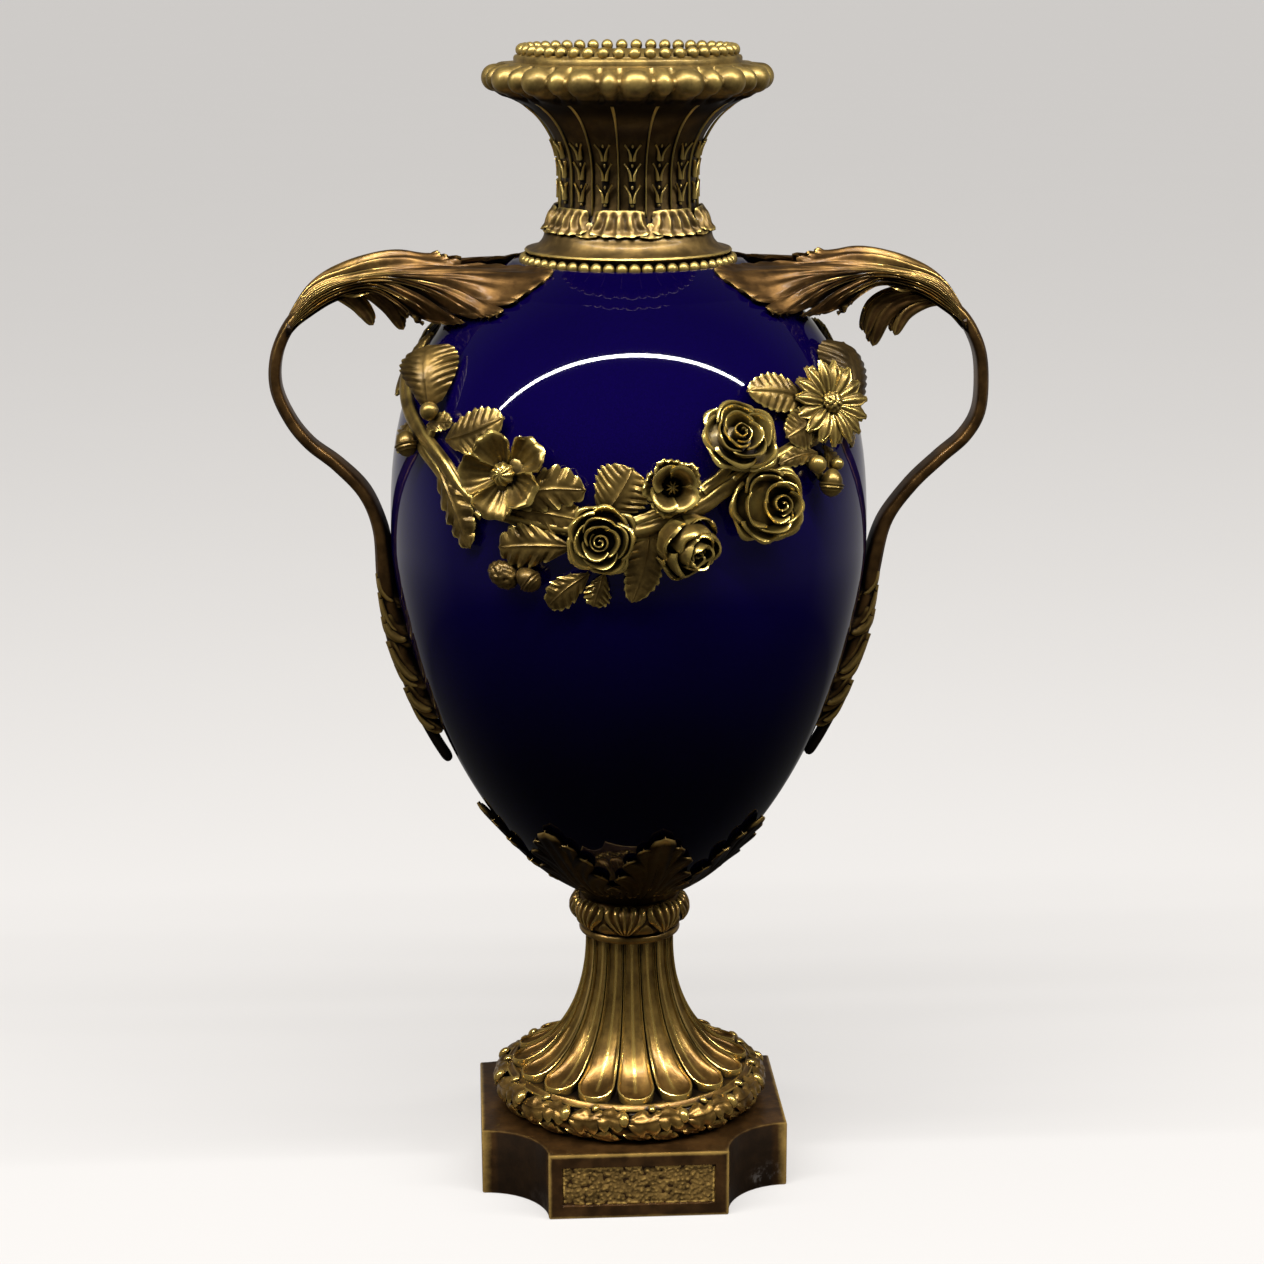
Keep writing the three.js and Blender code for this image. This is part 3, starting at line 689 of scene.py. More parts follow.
def wreath_cluster(face, sizes):
    """Wavy leaves that point along the wreath, with a large and a small berry between them."""
    mid = face.run_at(0.0467) + 0.0024
    parts = []
    for k, (east, up, lean, reach, width) in enumerate(WREATH_LEAVES):
        blade = leaf("blade", reach / 1000, width / 1000, **WREATH_BLADE, bow=0.05 * (-1) ** k)
        roll = math.radians(lean - 90)
        face.lay(blade, east / 1000 / sizes.wreath_radius, mid + up / 1000, roll, lift=0.0002 + 0.0004 * k)
        parts.append(gilded_and_shaded(blade, 0.1))
    for east, up, radius in WREATH_BERRIES:
        berry = ball("berry", radius / 1000, rings=8, segments=12)
        face.lay(berry, east / 1000 / sizes.wreath_radius, mid + up / 1000, lift=0.003)
        parts.append(gilded_and_shaded(berry, 0.25))
    return joined("cluster", parts)


def turned_copies(pattern, copies, first=0.0):
    """Copies of a piece at equal steps round the axis; the pattern itself goes."""
    parts = []
    for k in range(copies):
        twin = copied(pattern)
        twin.data.transform(Matrix.Rotation(first + TURN * k / copies, 4, "Z"))
        parts.append(twin)
    dropped(pattern)
    return parts


def alternated(pattern, gap_pattern, copies, first):
    """Copies of a leaf at equal steps round the axis, and of a smaller one in the gaps between them."""
    leaves = turned_copies(pattern, copies, first)
    return leaves + turned_copies(gap_pattern, copies, first + math.pi / copies)


def knop_leaf(face, sizes):
    """Fan leaf on the knop: deep ribs that spread like a V from its narrow foot to a frilled top edge."""
    half_turn = math.pi / sizes.knop_leaves
    whole = face.run[-1]
    ribs = 5

    def place(u, v):
        side = 2 * u - 1
        spread = 0.16 + 0.86 * smooth(-0.1, 0.85, v) ** 1.2
        frill = np.abs(np.cos(math.pi * ribs / 2 * side)) ** 0.8
        run = whole * (0.04 + (0.9 + 0.08 * frill - 0.12 * np.abs(side) ** 2.5) * v)
        swell = 0.0024 * np.sin(math.pi * np.clip(v * 0.95 + 0.03, 0, 1)) ** 0.6 * (1 - 0.4 * side**2)
        grooves = 0.0016 * (frill - 0.6) * smooth(0.05, 0.55, v)
        return face.place(side * half_turn * spread, run, swell + grooves)

    return thickened(surface("knop_leaf", 36, 12, place), 0.0013)


def knop_gap(face, sizes):
    """Small pointed leaf between the feet of two fans."""
    half_turn = math.pi / sizes.knop_leaves

    def place(u, v):
        side = 2 * u - 1
        spread = 0.62 * (1 - v) ** 0.7 + 0.02
        lift = 0.0013 * (1 - side**2) * np.sin(math.pi * (0.15 + 0.8 * v)) - 0.0004
        return face.place(side * half_turn * spread, face.run[-1] * (0.02 + 0.46 * v), lift)

    return thickened(surface("knop_gap", 12, 8, place), 0.001)


def knop(sizes):
    """Bowl of fan leaves on the astragal, with small pointed leaves between their feet."""
    bowl = [
        (0.0262, 0.1378), (0.0288, 0.1405), (0.03, 0.144), (0.0302, 0.1475), (0.0292, 0.1515),
        (0.027, 0.154),
    ]
    face = Face(bowl)
    parts = alternated(knop_leaf(face, sizes), knop_gap(face, sizes), sizes.knop_leaves, math.radians(-8.0))
    closed = [(0.004, 0.138), (0.0262, 0.138)] + bowl + [(0.0262, 0.1547), (0.004, 0.1547)]
    return parts + [turned("knop_core", closed, 96)]


def socle_core(sizes, flare, base, middle):
    """Solid core under the wreath, the flutes and the astragal."""
    inner = [(r - 0.003, z - 0.0064 * (r - sizes.stem_radius) / sizes.tip_radius) for r, z in flare[:-4]]
    ledge = [
        (0.06, 0.056), (0.0638, 0.0559), (0.0643, 0.0565), (0.065, 0.0565), (0.0655, 0.0557),
        (0.0671, 0.0546), (0.0676, 0.055), (0.0682, 0.0547), (0.0684, 0.0538),
    ]
    outline = (
        [(0.004, 0.1515), (0.0262, 0.1515), (0.0246, 0.138)]
        + arc((0.025, 0.1352), 0.0026, 80, -80, 8)
        + inner
        + ledge
        + [(0.0677, 0.053), (0.0668, middle)]
        + arc((sizes.wreath_radius, middle), sizes.wreath_section - 0.0022, 20, -80, 10)
        + [(sizes.wreath_radius - 0.002, base), (0.004, base)]
    )
    return turned("core", outline, 128)


def make_socle():
    """Foot of the vase: wreath, flutes, astragal and knop round one core."""
    sizes = settings().socle
    base = settings().plinth.height + 0.0003
    middle = base + sizes.wreath_section
    flare = foot_flare(sizes)
    parts = [socle_core(sizes, flare, base, middle)]
    channel = flute(sizes, Face(flare, downwards=True))
    gilded_and_shaded(channel, 0.22 * smooth(0.06, 0.085, corners(channel)[:, 2]))
    parts += turned_copies(channel, sizes.flutes)
    rope = Face(arc((sizes.wreath_radius, middle), sizes.wreath_section - 0.003, -85, 160, 40))
    parts += turned_copies(wreath_cluster(rope, sizes), sizes.clusters, math.radians(-10.6))
    return joined("socle_casting", parts + knop(sizes))


# ---- body

# Fullness of the ovoid below and above the belly: 2 is an ellipse, less is slimmer, more is fuller.
LOWER_FULLNESS = 1.5
UPPER_FULLNESS = 2.75


def body_radius(height):
    """Radius of the ovoid's outer face at a height."""
    sizes = settings().body
    below = np.clip((sizes.belly_height - height) / sizes.lower_reach, 0, 1)
    above = np.clip((height - sizes.belly_height) / sizes.upper_reach, 0, 1)
    lower = np.clip(1 - below**LOWER_FULLNESS, 0, 1)
    return sizes.belly_radius * np.sqrt(lower * (1 - above**UPPER_FULLNESS))


def body_face(low=0.1615, high=0.4985):
    """Outer face of the body between two heights, for the mounts to lie on."""
    heights = np.linspace(low, high, 160)
    return Face(np.column_stack([body_radius(heights), heights]))


def make_body():
    """Hollow shell, closed at its foot and open at the shoulder."""
    sizes = settings().body
    rise, drop = sizes.top - sizes.belly_height, sizes.belly_height - sizes.foot
    upper_heights = sizes.belly_height + rise * np.sin(np.linspace(0, math.pi / 2, 24))
    lower_heights = sizes.foot + drop * (1 - np.cos(np.linspace(0, math.pi / 2, 44)))
    heights = np.concatenate([lower_heights[:-1], upper_heights])
    outside = [(float(body_radius(z)), float(z)) for z in heights]
    inside = []
    for z in heights:
        shrink = (z - sizes.belly_height) * (1 - sizes.wall / sizes.upper_reach)
        level = sizes.belly_height + shrink
        inside.append((float(body_radius(level)) - sizes.wall, float(max(z, sizes.foot + sizes.wall))))
    inside = [(r, z) for r, z in inside if z > sizes.foot + sizes.wall]
    profile = [(0, sizes.foot)] + outside + inside[::-1] + [(0, sizes.foot + sizes.wall)]
    return outwards(turned("body_shell", profile, 160))


# ---- calyx


def calyx_cup():
    """Plain cup that holds the foot of the body."""
    outside = [
        (0.004, 0.1555), (0.027, 0.1555), (0.0285, 0.158), (0.0312, 0.1612), (0.0392, 0.166),
        (0.0475, 0.1712), (float(body_radius(0.172)) + 0.0016, 0.1724),
    ]
    seat = [(float(body_radius(z)) + 0.0009, z) for z in np.linspace(0.1614, 0.172, 6)]
    return turned("cup", outside + seat[::-1] + [(0.004, 0.1606)], 96)


def acanthus():
    """Flat acanthus leaf: five rows of fingers over a fluted web."""
    lobe = {"crown": 0.16, "groove": 0.1, "curl": 0.16, "wall": 0.0018, "across": 10}
    fingers = frond("acanthus", [
        ([(0.011, 0.0), (0.013, 0.011), (0.0185, 0.0165)], 0.0085, lobe),
        ([(0.0055, 0.002), (0.0085, 0.017), (0.0165, 0.027)], 0.01, lobe),
        ([(0.003, 0.008), (0.006, 0.027), (0.0145, 0.039)], 0.0105, lobe),
        ([(0.0015, 0.012), (0.004, 0.035), (0.0085, 0.0475)], 0.0098, lobe),
        ([(0.0, 0.0), (0.0, 0.028), (0.0, 0.0548)], 0.0125, {**lobe, "root": 0.7, "widest": 0.8}),
    ])
    line = [(0, 0), (0, 0.026), (0, 0.044)]
    web = finger(line, 0.023, 0.05, root=1.0, widest=0.3, wall=0.0012, across=24)
    flat = corners(web)
    flat[:, 2] += 0.0004 * np.cos(TURN * flat[:, 0] / 0.003) - 0.0004
    move_corners(web, flat)
    return joined("acanthus", [fingers, web])


def make_calyx():
    """Cup with acanthus leaves that stand up round the foot of the body, their tips rubbed to gold."""
    sizes = settings().calyx
    face = body_face(0.1612, 0.22)
    parts = [calyx_cup()]
    pattern = acanthus()
    foot = face.run_at(0.1635)
    reach = face.run_at(sizes.tip) - foot
    move_corners(pattern, corners(pattern) * (1.16, reach / 0.056, 1.1))
    face.lay(pattern, 0.0, foot, lift=0.001)
    gilded_and_shaded(pattern, 0.75 * smooth(0.203, 0.211, corners(pattern)[:, 2]))
    parts += turned_copies(pattern, sizes.leaves, sizes.first_leaf)
    return joined("calyx_casting", parts)


# ---- neck

# Heights of the husks that hang in each panel.
HUSK_LEVELS = (0.5312, 0.5422, 0.5525)
# Radius of the beads at the shoulder and round the mouth.
BEAD = 0.0032


def neck_flare(sizes):
    """Profile of the panelled neck from the collar up to the lip, short of a full quarter turn."""
    flare = quarter_flare(sizes.radius, sizes.waist, sizes.flare_width, sizes.flare_reach, 24, 77)
    foot = [(sizes.radius + 0.0006, 0.523), (sizes.radius + 0.0001, 0.53)]
    return foot + flare


def pillow(offset, half):
    """Rounded section of a lobe: 1 at its middle, 0 at its edges."""
    return np.sqrt(np.clip(1 - (offset / half) ** 2, 0, 1))


def gadroon(sizes):
    """Carves the lip into large and small pillow lobes by turns, a large one at the front."""
    period = TURN / sizes.lobes
    wide, narrow = period * 0.242, period * 0.132

    def carve(angle, radius, height):
        offset = (angle + period / 2) % period - period / 2
        far = period / 2 - np.abs(offset)
        large = pillow(offset, wide)
        small = 0.72 * pillow(far, narrow)
        body = np.maximum(large, small) ** 0.8
        centre = 0.592
        share = np.where(height > centre, smooth(0.063, 0.069, radius), smooth(0.0585, 0.065, radius))
        low = 0.0042 * (1 - body) * share
        squeeze = (height - centre) * 0.4 * (1 - body) * share
        return radius - low, height - squeeze

    return carve


def husk():
    """Two splayed petals on a short stalk, with a bud between them."""
    parts = []
    for side in (-1, 1):

        def place(u, v, side=side):
            half = 0.00135 * (1 - 0.55 * v) * np.clip(1.15 - v, 0, 1) ** 0.45
            x = side * (0.0007 + 0.0033 * v**2.1) + (2 * u - 1) * half
            swell = 0.0019 * (1 - (2 * u - 1) ** 2) * (1 - 0.3 * v) + 0.0004 + 0.0006 * v**2
            return np.column_stack([x, 0.009 * v, swell])

        parts.append(thickened(surface("petal", 6, 9, place), 0.0006))
    bud = ball("bud", 0.0007, rings=6, segments=8)
    move_corners(bud, corners(bud) * (1, 1.6, 1) + (0, 0.0076, 0.0006))
    parts.append(bud)
    return joined("husk", parts)


def neck_rib(face, start, end):
    """Thin raised rib between two panels, fading into the flare."""

    def place(u, v):
        run = start + (end - start) * v
        width = 0.00055 + 0.0003 * smooth(0.6, 1.0, v)
        fade = 1 - 0.55 * smooth(0.6, 0.9, v) - 0.45 * smooth(0.88, 1.0, v)
        swell = 0.0014 * np.sin(math.pi * u) ** 0.8 * fade
        angle = (2 * u - 1) * width / np.interp(run, face.run, face.radius)
        return face.place(angle, run, swell - 0.0002)

    return thickened(surface("rib", 6, 40, place), 0.0005)


def collar_leaf(face, sizes):
    """Drooping leaf of the collar: fluted from its top edge down to a rolled and waved lower edge."""
    half_turn = math.pi / sizes.collar_leaves
    whole = face.run[-1]
    flutes = 5

    def place(u, v):
        side = 1 - 2 * u
        wave = np.cos(math.pi * flutes * side)
        spread = 0.84 + 0.18 * smooth(0.15, 0.85, v) + 0.03 * np.sin(9 * v)
        run = whole * (0.02 + (0.98 - 0.2 * np.abs(side) ** 3 + 0.035 * wave) * v)
        grooves = 0.0011 * wave * smooth(0.02, 0.3, v) * (1 - 0.3 * smooth(0.6, 1.0, v))
        roll = 0.0017 * smooth(0.62, 1.0, v) ** 2 + 0.0009 * np.sin(math.pi * v)
        top = 0.0013 * smooth(0.22, 0.0, v)
        edges = -0.0012 * np.abs(side) ** 6
        return face.place(side * half_turn * spread, run, 0.0004 + grooves + roll + top + edges)

    return thickened(surface("collar_leaf", 48, 14, place), 0.0012)


def gap_leaf(face, sizes):
    """Small ribbed leaf that fills the foot of the gap between two collar leaves."""
    half_turn = math.pi / sizes.collar_leaves
    whole = face.run[-1]

    def place(u, v):
        side = 1 - 2 * u
        run = whole * (0.45 + (0.6 - 0.07 * np.abs(side) ** 2) * v)
        ribs = 0.0005 * np.abs(np.cos(math.pi * 1.5 * side)) * v
        spread = 0.06 + 0.3 * v**0.8
        return face.place(side * half_turn * spread, run, 0.0001 + ribs + 0.0014 * v**2)

    return thickened(surface("gap_leaf", 18, 8, place), 0.001)


def neck_core(sizes, flare, seat):
    """Turned core from the cavetto up to the fillet and down through the throat, its lip carved."""
    panels = [(radius - 0.0008, height) for radius, height in flare[1:]]
    lip = [(0.0653, 0.5831)] + arc((0.0679, 0.5919), 0.0069, -88, 80, 18)
    fillet = [
        (0.0668, 0.5989), (0.063, 0.5992), (0.0588, 0.5994), (0.0583, 0.5998), (0.0583, 0.602),
        (0.0577, 0.6029), (0.056, 0.6034), (0.0556, 0.604),
    ]
    inside = [
        (sizes.mouth - 0.0004, 0.604), (sizes.mouth - 0.0006, 0.6005), (0.049, 0.596), (0.0455, 0.5905),
        (0.04, 0.58), (0.0345, 0.567), (sizes.throat + 0.0006, 0.552), (sizes.throat, 0.53),
        (sizes.throat + 0.0008, 0.516), (0.036, 0.506), (0.0415, seat),
    ]
    moulding = [(0.0492, seat), (0.0496, 0.5034), (0.053, 0.5038), (0.0537, 0.5046), (0.0531, 0.5054)]
    turns = np.linspace(0.1, 1.45, 9)
    cavetto = [(0.0531 - 0.0098 * math.sin(t), 0.5142 - 0.0088 * math.cos(t)) for t in turns]
    collar = [(0.0418, 0.5146), (0.0404, 0.5155), (0.0384, 0.5185), (0.0368, 0.5225), (0.036, 0.5248)]
    profile = moulding + cavetto + collar + panels + lip + fillet + inside
    core = turned("neck_core", profile, 288, gadroon(sizes))
    height = corners(core)[:, 2]
    # The panels between the ribs are painted dark, with painted shade that deepens under the overhang of
    # the lip.
    panelled = smooth(0.515, 0.52, height) * (1 - smooth(0.5826, 0.5856, height))
    shade = 0.46 + 0.3 * smooth(0.552, 0.566, height) + 0.45 * smooth(0.57, 0.582, height)
    return gilded_and_shaded(core, 0.24 * smooth(0.52, 0.59, height) - 0.06 - shade * panelled)


def make_neck():
    """Core, ribs and husks of the panels, drooping leaves of the collar and the two rows of beads."""
    sizes = settings().neck
    seat = settings().body.top + 0.0003
    flare = neck_flare(sizes)
    parts = [neck_core(sizes, flare, seat)]
    face = Face(flare)
    rib = neck_rib(face, face.run_at(0.5245), face.run_at(0.58))
    gilded_and_shaded(rib, 0.3 - 0.55 * smooth(0.562, 0.576, corners(rib)[:, 2]))
    parts += turned_copies(rib, sizes.panels, math.pi / sizes.panels)
    pattern = gilded_and_shaded(husk(), 0.3)
    for level in HUSK_LEVELS:
        spray = copied(pattern)
        face.lay(spray, 0.0, face.run_at(level), lift=-0.0006)
        parts += turned_copies(spray, sizes.panels)
    dropped(pattern)
    knot = ball("knot", 0.001, rings=6, segments=8)
    face.lay(knot, 0.0, face.run_at(0.53), lift=-0.0002)
    parts += turned_copies(knot, sizes.panels)
    drape = [(0.037, 0.5268), (0.0384, 0.5252), (0.0396, 0.5222), (0.041, 0.5182), (0.0427, 0.5143)]
    slope = Face(drape, downwards=True)
    drooping = gilded_and_shaded(collar_leaf(slope, sizes), -0.14)
    parts += alternated(drooping, gap_leaf(slope, sizes), sizes.collar_leaves, math.radians(-10.0))
    parts.append(bead_row("shoulder_beads", BEAD, 0.0533, seat + 0.0004, sizes.shoulder_beads))
    parts.append(bead_row("rim_beads", BEAD, 0.054, sizes.height - 0.0044, sizes.rim_beads))
    return joined("neck_casting", parts)


# ---- handles

# Outer lines of the two straps in the plane of the handle, as (out, up), from the tail leaf up and
# over. The two were bent by hand and differ in their lower scroll.
STRAP_UP = [0.3, 0.318, 0.335, 0.359, 0.377, 0.3915, 0.403, 0.4165, 0.434, 0.452, 0.4685, 0.48, 0.488]
STRAP_RIGHT = list(zip([
    0.1285, 0.1315, 0.1337, 0.1391, 0.1515, 0.1665, 0.1795, 0.1872, 0.1888, 0.1866, 0.1785, 0.168, 0.157,
], STRAP_UP))
STRAP_LEFT = list(zip([
    0.1285, 0.1312, 0.1327, 0.134, 0.1407, 0.154, 0.1683, 0.1786, 0.1856, 0.1848, 0.1775, 0.1675, 0.157,
], STRAP_UP))
# Outer line of the tail leaf, from under the strap down the body.
TAIL_LINE = [
    (0.134, 0.338), (0.1325, 0.321), (0.129, 0.298), (0.1215, 0.276), (0.115, 0.259), (0.1065, 0.242),
    (0.0988, 0.2293),
]
TAIL_LOBES = 7
# Layers of the tail leaf's lobes: how far along they start, their share of the full length, width,
# crown, groove, how far they stand out and how much gold they show.
TAIL_LAYERS = [
    (0.0, 1.0, 0.0104, 0.28, 0.12, 0.0, 0.02),
    (0.03, 0.66, 0.005, 0.42, 0.0, 0.0014, 0.3),
]
# Veins of the shoulder leaf in mm, as (out, across, up) from the strap to the leaf's edge: first the
# middle lobe, then the ridge beside the gap, the broad inner fan and the lobes along the lower edge.
LEAF_VEINS = [
    [(182, 0, 461), (166, 0, 486.5), (147, 0, 499), (124, 0, 505), (98, 0, 503.5)],
    [(182, 2, 461), (165, 3.5, 486), (144, 5.5, 496), (121, 6, 501), (92, 6.5, 500.5)],
    [(182, 3.2, 461), (164, 5, 485.8), (141, 7.5, 493.5), (110, 12, 497), (68, 17, 498.5)],
    [(182, 4.2, 461), (163, 6.5, 485.6), (139, 9.5, 492.5), (102, 19, 496.5), (47, 36, 499.5)],
    [(182, 5, 461), (162, 8, 485.2), (137, 11.5, 492.5), (96, 26, 496), (40.8, 48.5, 497.5)],
    [(182, 5.6, 461), (161, 9.2, 484.6), (135, 13, 492), (96, 29, 493.5), (56.5, 55, 487)],
    [(182, 6.2, 461), (160, 10, 484), (133, 14.5, 492), (99, 30, 489.5), (69, 56.5, 478)],
    [(182, 6.6, 461), (159, 10.5, 483.2), (132, 15.5, 492), (105, 27, 488.5), (78, 48, 475.5)],
    [(182, 6.9, 461), (158, 10.8, 482.4), (131, 15.5, 490.5), (110, 26, 485), (87, 39, 471.3)],
    [(182, 7.1, 461), (157, 11, 481.6), (133, 15, 489), (115, 23.5, 482.5), (97, 29, 470)],
    [(182, 7.2, 461), (156, 11.2, 480.6), (135, 14, 487), (120, 20, 481), (107.3, 25, 470.5)],
    [(182, 7.3, 461), (155, 11.3, 479.6), (140, 12.5, 484), (128, 12.5, 484), (115, 17, 477.5)],
]
# How strongly the ridge along each vein is raised.
VEIN_STRENGTH = [
    (0, 0.5), (1, 1.6), (2, 0.5), (5, 0.6), (6, 0.8), (7, 1.8), (8, 1.4), (9, 1.7), (10, 1.5), (11, 0.6),
]
# Notches in the leaf's edge: at which vein, how wide and how deep.
LEAF_NOTCHES = [(1.5, 0.16, 0.05), (5.5, 0.14, 0.05), (7.5, 0.2, 0.12), (9.5, 0.2, 0.11)]
LEAF_KNOBS = 27


def beside_line(line, part, across, lift, outwards=1):
    """Places across a line in the plane of the handle, lifted off its outer side."""
    point = smooth_line(line, part)
    step = 0.002
    ahead = smooth_line(line, np.clip(part + step, 0, 1)) - smooth_line(line, np.clip(part - step, 0, 1))
    ahead /= np.linalg.norm(ahead, axis=1)[:, None]
    normal = np.column_stack([ahead[:, 1], -ahead[:, 0]]) * outwards
    return np.column_stack([point[:, 0] + normal[:, 0] * lift, across, point[:, 1] + normal[:, 1] * lift])


def strap(sizes, line, twist):
    """Flat band with rounded edges and shallow flutes along its outer side, twisted in its lower scroll."""

    def place(u, v):
        turn = TURN * u
        square = 0.42
        across = np.sign(np.cos(turn)) * np.abs(np.cos(turn)) ** square
        depth = np.sign(np.sin(turn)) * np.abs(np.sin(turn)) ** (square * 1.6)
        slim = 0.35 + 0.65 * smooth(0, 0.15, v)
        half = sizes.strap_half * slim * (1 - 0.3 * smooth(0.84, 1.0, v))
        flutes = 0.0007 * np.cos(across * math.pi * 2) * (depth > 0) * (np.abs(across) < 0.8)
        thick = sizes.strap_thick * (1 + 0.5 * smooth(0.3, 0.16, v))
        away = depth * slim * thick / 2 - flutes
        lean = math.radians(twist) * smooth(0.0, 0.15, v) * (1 - smooth(0.34, 0.5, v))
        sideways = across * half * np.cos(lean) + away * np.sin(lean)
        lift = away * np.cos(lean) - across * half * np.sin(lean) - thick / 2
        lift = lift - 0.0024 * smooth(0.8, 1.0, v) - 0.001 * smooth(0.12, 0.0, v)
        return beside_line(line, v, sideways, lift)

    band = capped(surface("strap", 40, 110, place))
    return gilded_and_shaded(band, 0.18 * smooth(0.445, 0.475, corners(band)[:, 2]) - 0.22)


def shoulder_leaf(lifted):
    """Wide acanthus leaf that fans from the strap in two wings over the shoulder, its edge knuckled."""
    veins = np.array(LEAF_VEINS, float) / 1000
    last = len(veins) - 1

    def place(u, v):
        side = 2 * u - 1
        away = np.abs(side)
        vein = away * last
        knuckle = np.abs(np.cos(math.pi * LEAF_KNOBS * away)) ** 0.7
        notches = np.zeros_like(away)
        for middle, width, depth in LEAF_NOTCHES:
            notches += depth * np.exp(-(((vein - middle) / width) ** 2))
        stretch = v * (1.0 + 0.026 * (knuckle - 0.5) - notches)
        along = np.array([smooth_line(line, stretch) for line in veins])
        index = np.minimum(vein.astype(int), last - 1)
        rows = np.arange(len(u))
        before, start, end, after = (along[np.clip(index + k, 0, last), rows] for k in (-1, 0, 1, 2))
        before = np.where((index == 0)[:, None], along[1, rows] * (1, -1, 1), before)
        point = between(before, start, end, after, (vein - index)[:, None])
        ridge = np.abs(np.cos(math.pi * vein)) ** 1.5 - 0.45
        strength = np.interp(vein, *np.transpose(VEIN_STRENGTH))
        fade = smooth(0.02, 0.25, v) * (1 - 0.75 * smooth(0.55, 0.95, v))
        lift = 0.001 * strength * ridge * fade
        broad = smooth(0.3, 0.6, v) * (1 - smooth(0.8, 0.95, v))
        lift += 0.0005 * np.cos(TURN * 1.5 * vein + 4 * v) * broad
        lift += (0.0003 + 0.0017 * knuckle) * smooth(0.925, 0.975, v) - 0.0009 * smooth(0.8, 0.9, v)
        lift -= 0.0035 * notches / 0.12 * smooth(0.5, 0.95, v)
        outwards = np.column_stack([np.full_like(away, 0.15), 0.15 + 0.75 * away, 1.0 - 0.4 * away])
        outwards[:, 1] *= smooth(0.0, 0.08, away)
        outwards /= np.linalg.norm(outwards, axis=1)[:, None]
        point = point + outwards * lift[:, None]
        point[:, 0] -= 0.0034 * smooth(0.13, 0.0, v)
        point[:, 2] += lifted * smooth(0.55, 0.85, away) * smooth(0.35, 0.9, v)
        point[:, 1] *= np.where(side < 0, -1, 1)
        return point

    return thickened(surface("shoulder_leaf", 220, 48, place), 0.0018)


# Fingers of the leaf under the strap, in the plane of the handle as (out, up): width and line.
UNDER_LEFT = [
    (0.0078, [(0.168, 0.479), (0.151, 0.4835), (0.1395, 0.476), (0.132, 0.4655)]),
    (0.0055, [(0.15, 0.48), (0.14, 0.4745), (0.1355, 0.469)]),
    (0.0088, [(0.158, 0.484), (0.139, 0.485), (0.1245, 0.476), (0.1165, 0.463)]),
    (0.007, [(0.15, 0.4855), (0.133, 0.4845), (0.1205, 0.4765), (0.114, 0.469)]),
]
UNDER_RIGHT = [
    (0.007, [(0.17, 0.474), (0.156, 0.4745), (0.1445, 0.469), (0.1385, 0.4575)]),
    (0.0088, [(0.168, 0.4765), (0.15, 0.4775), (0.1345, 0.47), (0.127, 0.452)]),
    (0.0078, [(0.16, 0.479), (0.142, 0.4785), (0.129, 0.4715), (0.1235, 0.458)]),
]


def in_handle_plane(piece, bow, raised=0.0):
    """Turns a flat finger up into the plane of the handle and moves it aside by bow."""
    flat = corners(piece)
    move_corners(piece, np.column_stack([flat[:, 0], -bow - flat[:, 2], flat[:, 1] + raised]))
    return piece


def under_leaf(fingers):
    """Leaf folded over the underside of the strap, with fingers of uneven length on both sides."""
    blade = {"crown": 0.34, "groove": 0.14, "root": 0.55, "wall": 0.0022, "across": 12, "along": 24}
    near = joined("under_leaf", [finger(line, width, **blade) for width, line in fingers])
    in_handle_plane(near, 0.0078 - 0.0035 * smooth(0.15, 0.17, corners(near)[:, 0]), 0.0018)
    far = mirrored(near)
    return joined("under_leaf", [sealed(near), sealed(far)])


def tail_lobe(k, shift, share, wide, crown, groove, proud, gold):
    """One crumpled lobe of the tail leaf, from its rib inwards and down the body."""
    start = 0.03 + 0.098 * k + shift
    size = (0.62 + 0.38 * math.sin(math.pi * (k + 1.0) / 7.5)) * (1 + 0.2 * math.sin(4.1 * k))
    lean = 1.35 + 0.45 * math.sin(2.6 * k)
    line = []
    for ahead, inwards in ((0.0, 0.0026), (0.06, 0.0044), (0.11, 0.0092), (0.13, 0.0152)):
        spot = np.array([min(start + ahead * lean * share, 0.99)])
        x, _, z = beside_line(TAIL_LINE, spot, 0.0, -inwards * size * share - 0.3 * shift * wide, -1)[0]
        line.append((x, z))
    blade = {"root": 0.6, "widest": 0.55, "wall": 0.0009, "across": 12, "along": 14}
    lobe = finger(line, wide * size, crown, groove, **blade)
    in_handle_plane(lobe, 0.0032 + 0.0022 * size + 0.0005 * (k % 2) + proud)
    return gilded_and_shaded(lobe, gold)


def tail_leaf(sizes):
    """Leaf that runs down the body: a rib along its outer side, crumpled lobes lapped over one another
    down both sides, and a slim rounded tip."""

    def place(u, v):
        turn = TURN * u
        grown = smooth(0.0, 0.2, v) * (1 - smooth(0.6, 0.82, v))
        end = np.sqrt(np.clip(1 - (np.clip(v - 0.93, 0, 1) / 0.0705) ** 2, 0, 1))
        depth = (0.0029 + 0.0034 * grown) * (1 + 0.1 * np.sin(26 * v) * grown)
        across = (0.0046 + 0.18 * sizes.tail_half * grown) * np.cos(turn) * end
        return beside_line(TAIL_LINE, v, across, depth * (np.sin(turn) * end - 1), -1)

    lobes = joined("tail_lobes", [tail_lobe(k, *layer) for k in range(TAIL_LOBES) for layer in TAIL_LAYERS])
    spots = corners(lobes)
    clear_of_glaze = body_radius(spots[:, 2]) + 0.0002
    spots[:, :2] *= np.maximum(1.0, clear_of_glaze / np.hypot(spots[:, 0], spots[:, 1]))[:, None]
    move_corners(lobes, spots)
    far = mirrored(lobes)
    rib = capped(surface("tail_rib", 24, 80, place))
    gilded_and_shaded(rib, -0.2 - 0.9 * smooth(0.262, 0.242, corners(rib)[:, 2]))
    return joined("tail_leaf", [rib, sealed(lobes), sealed(far)])


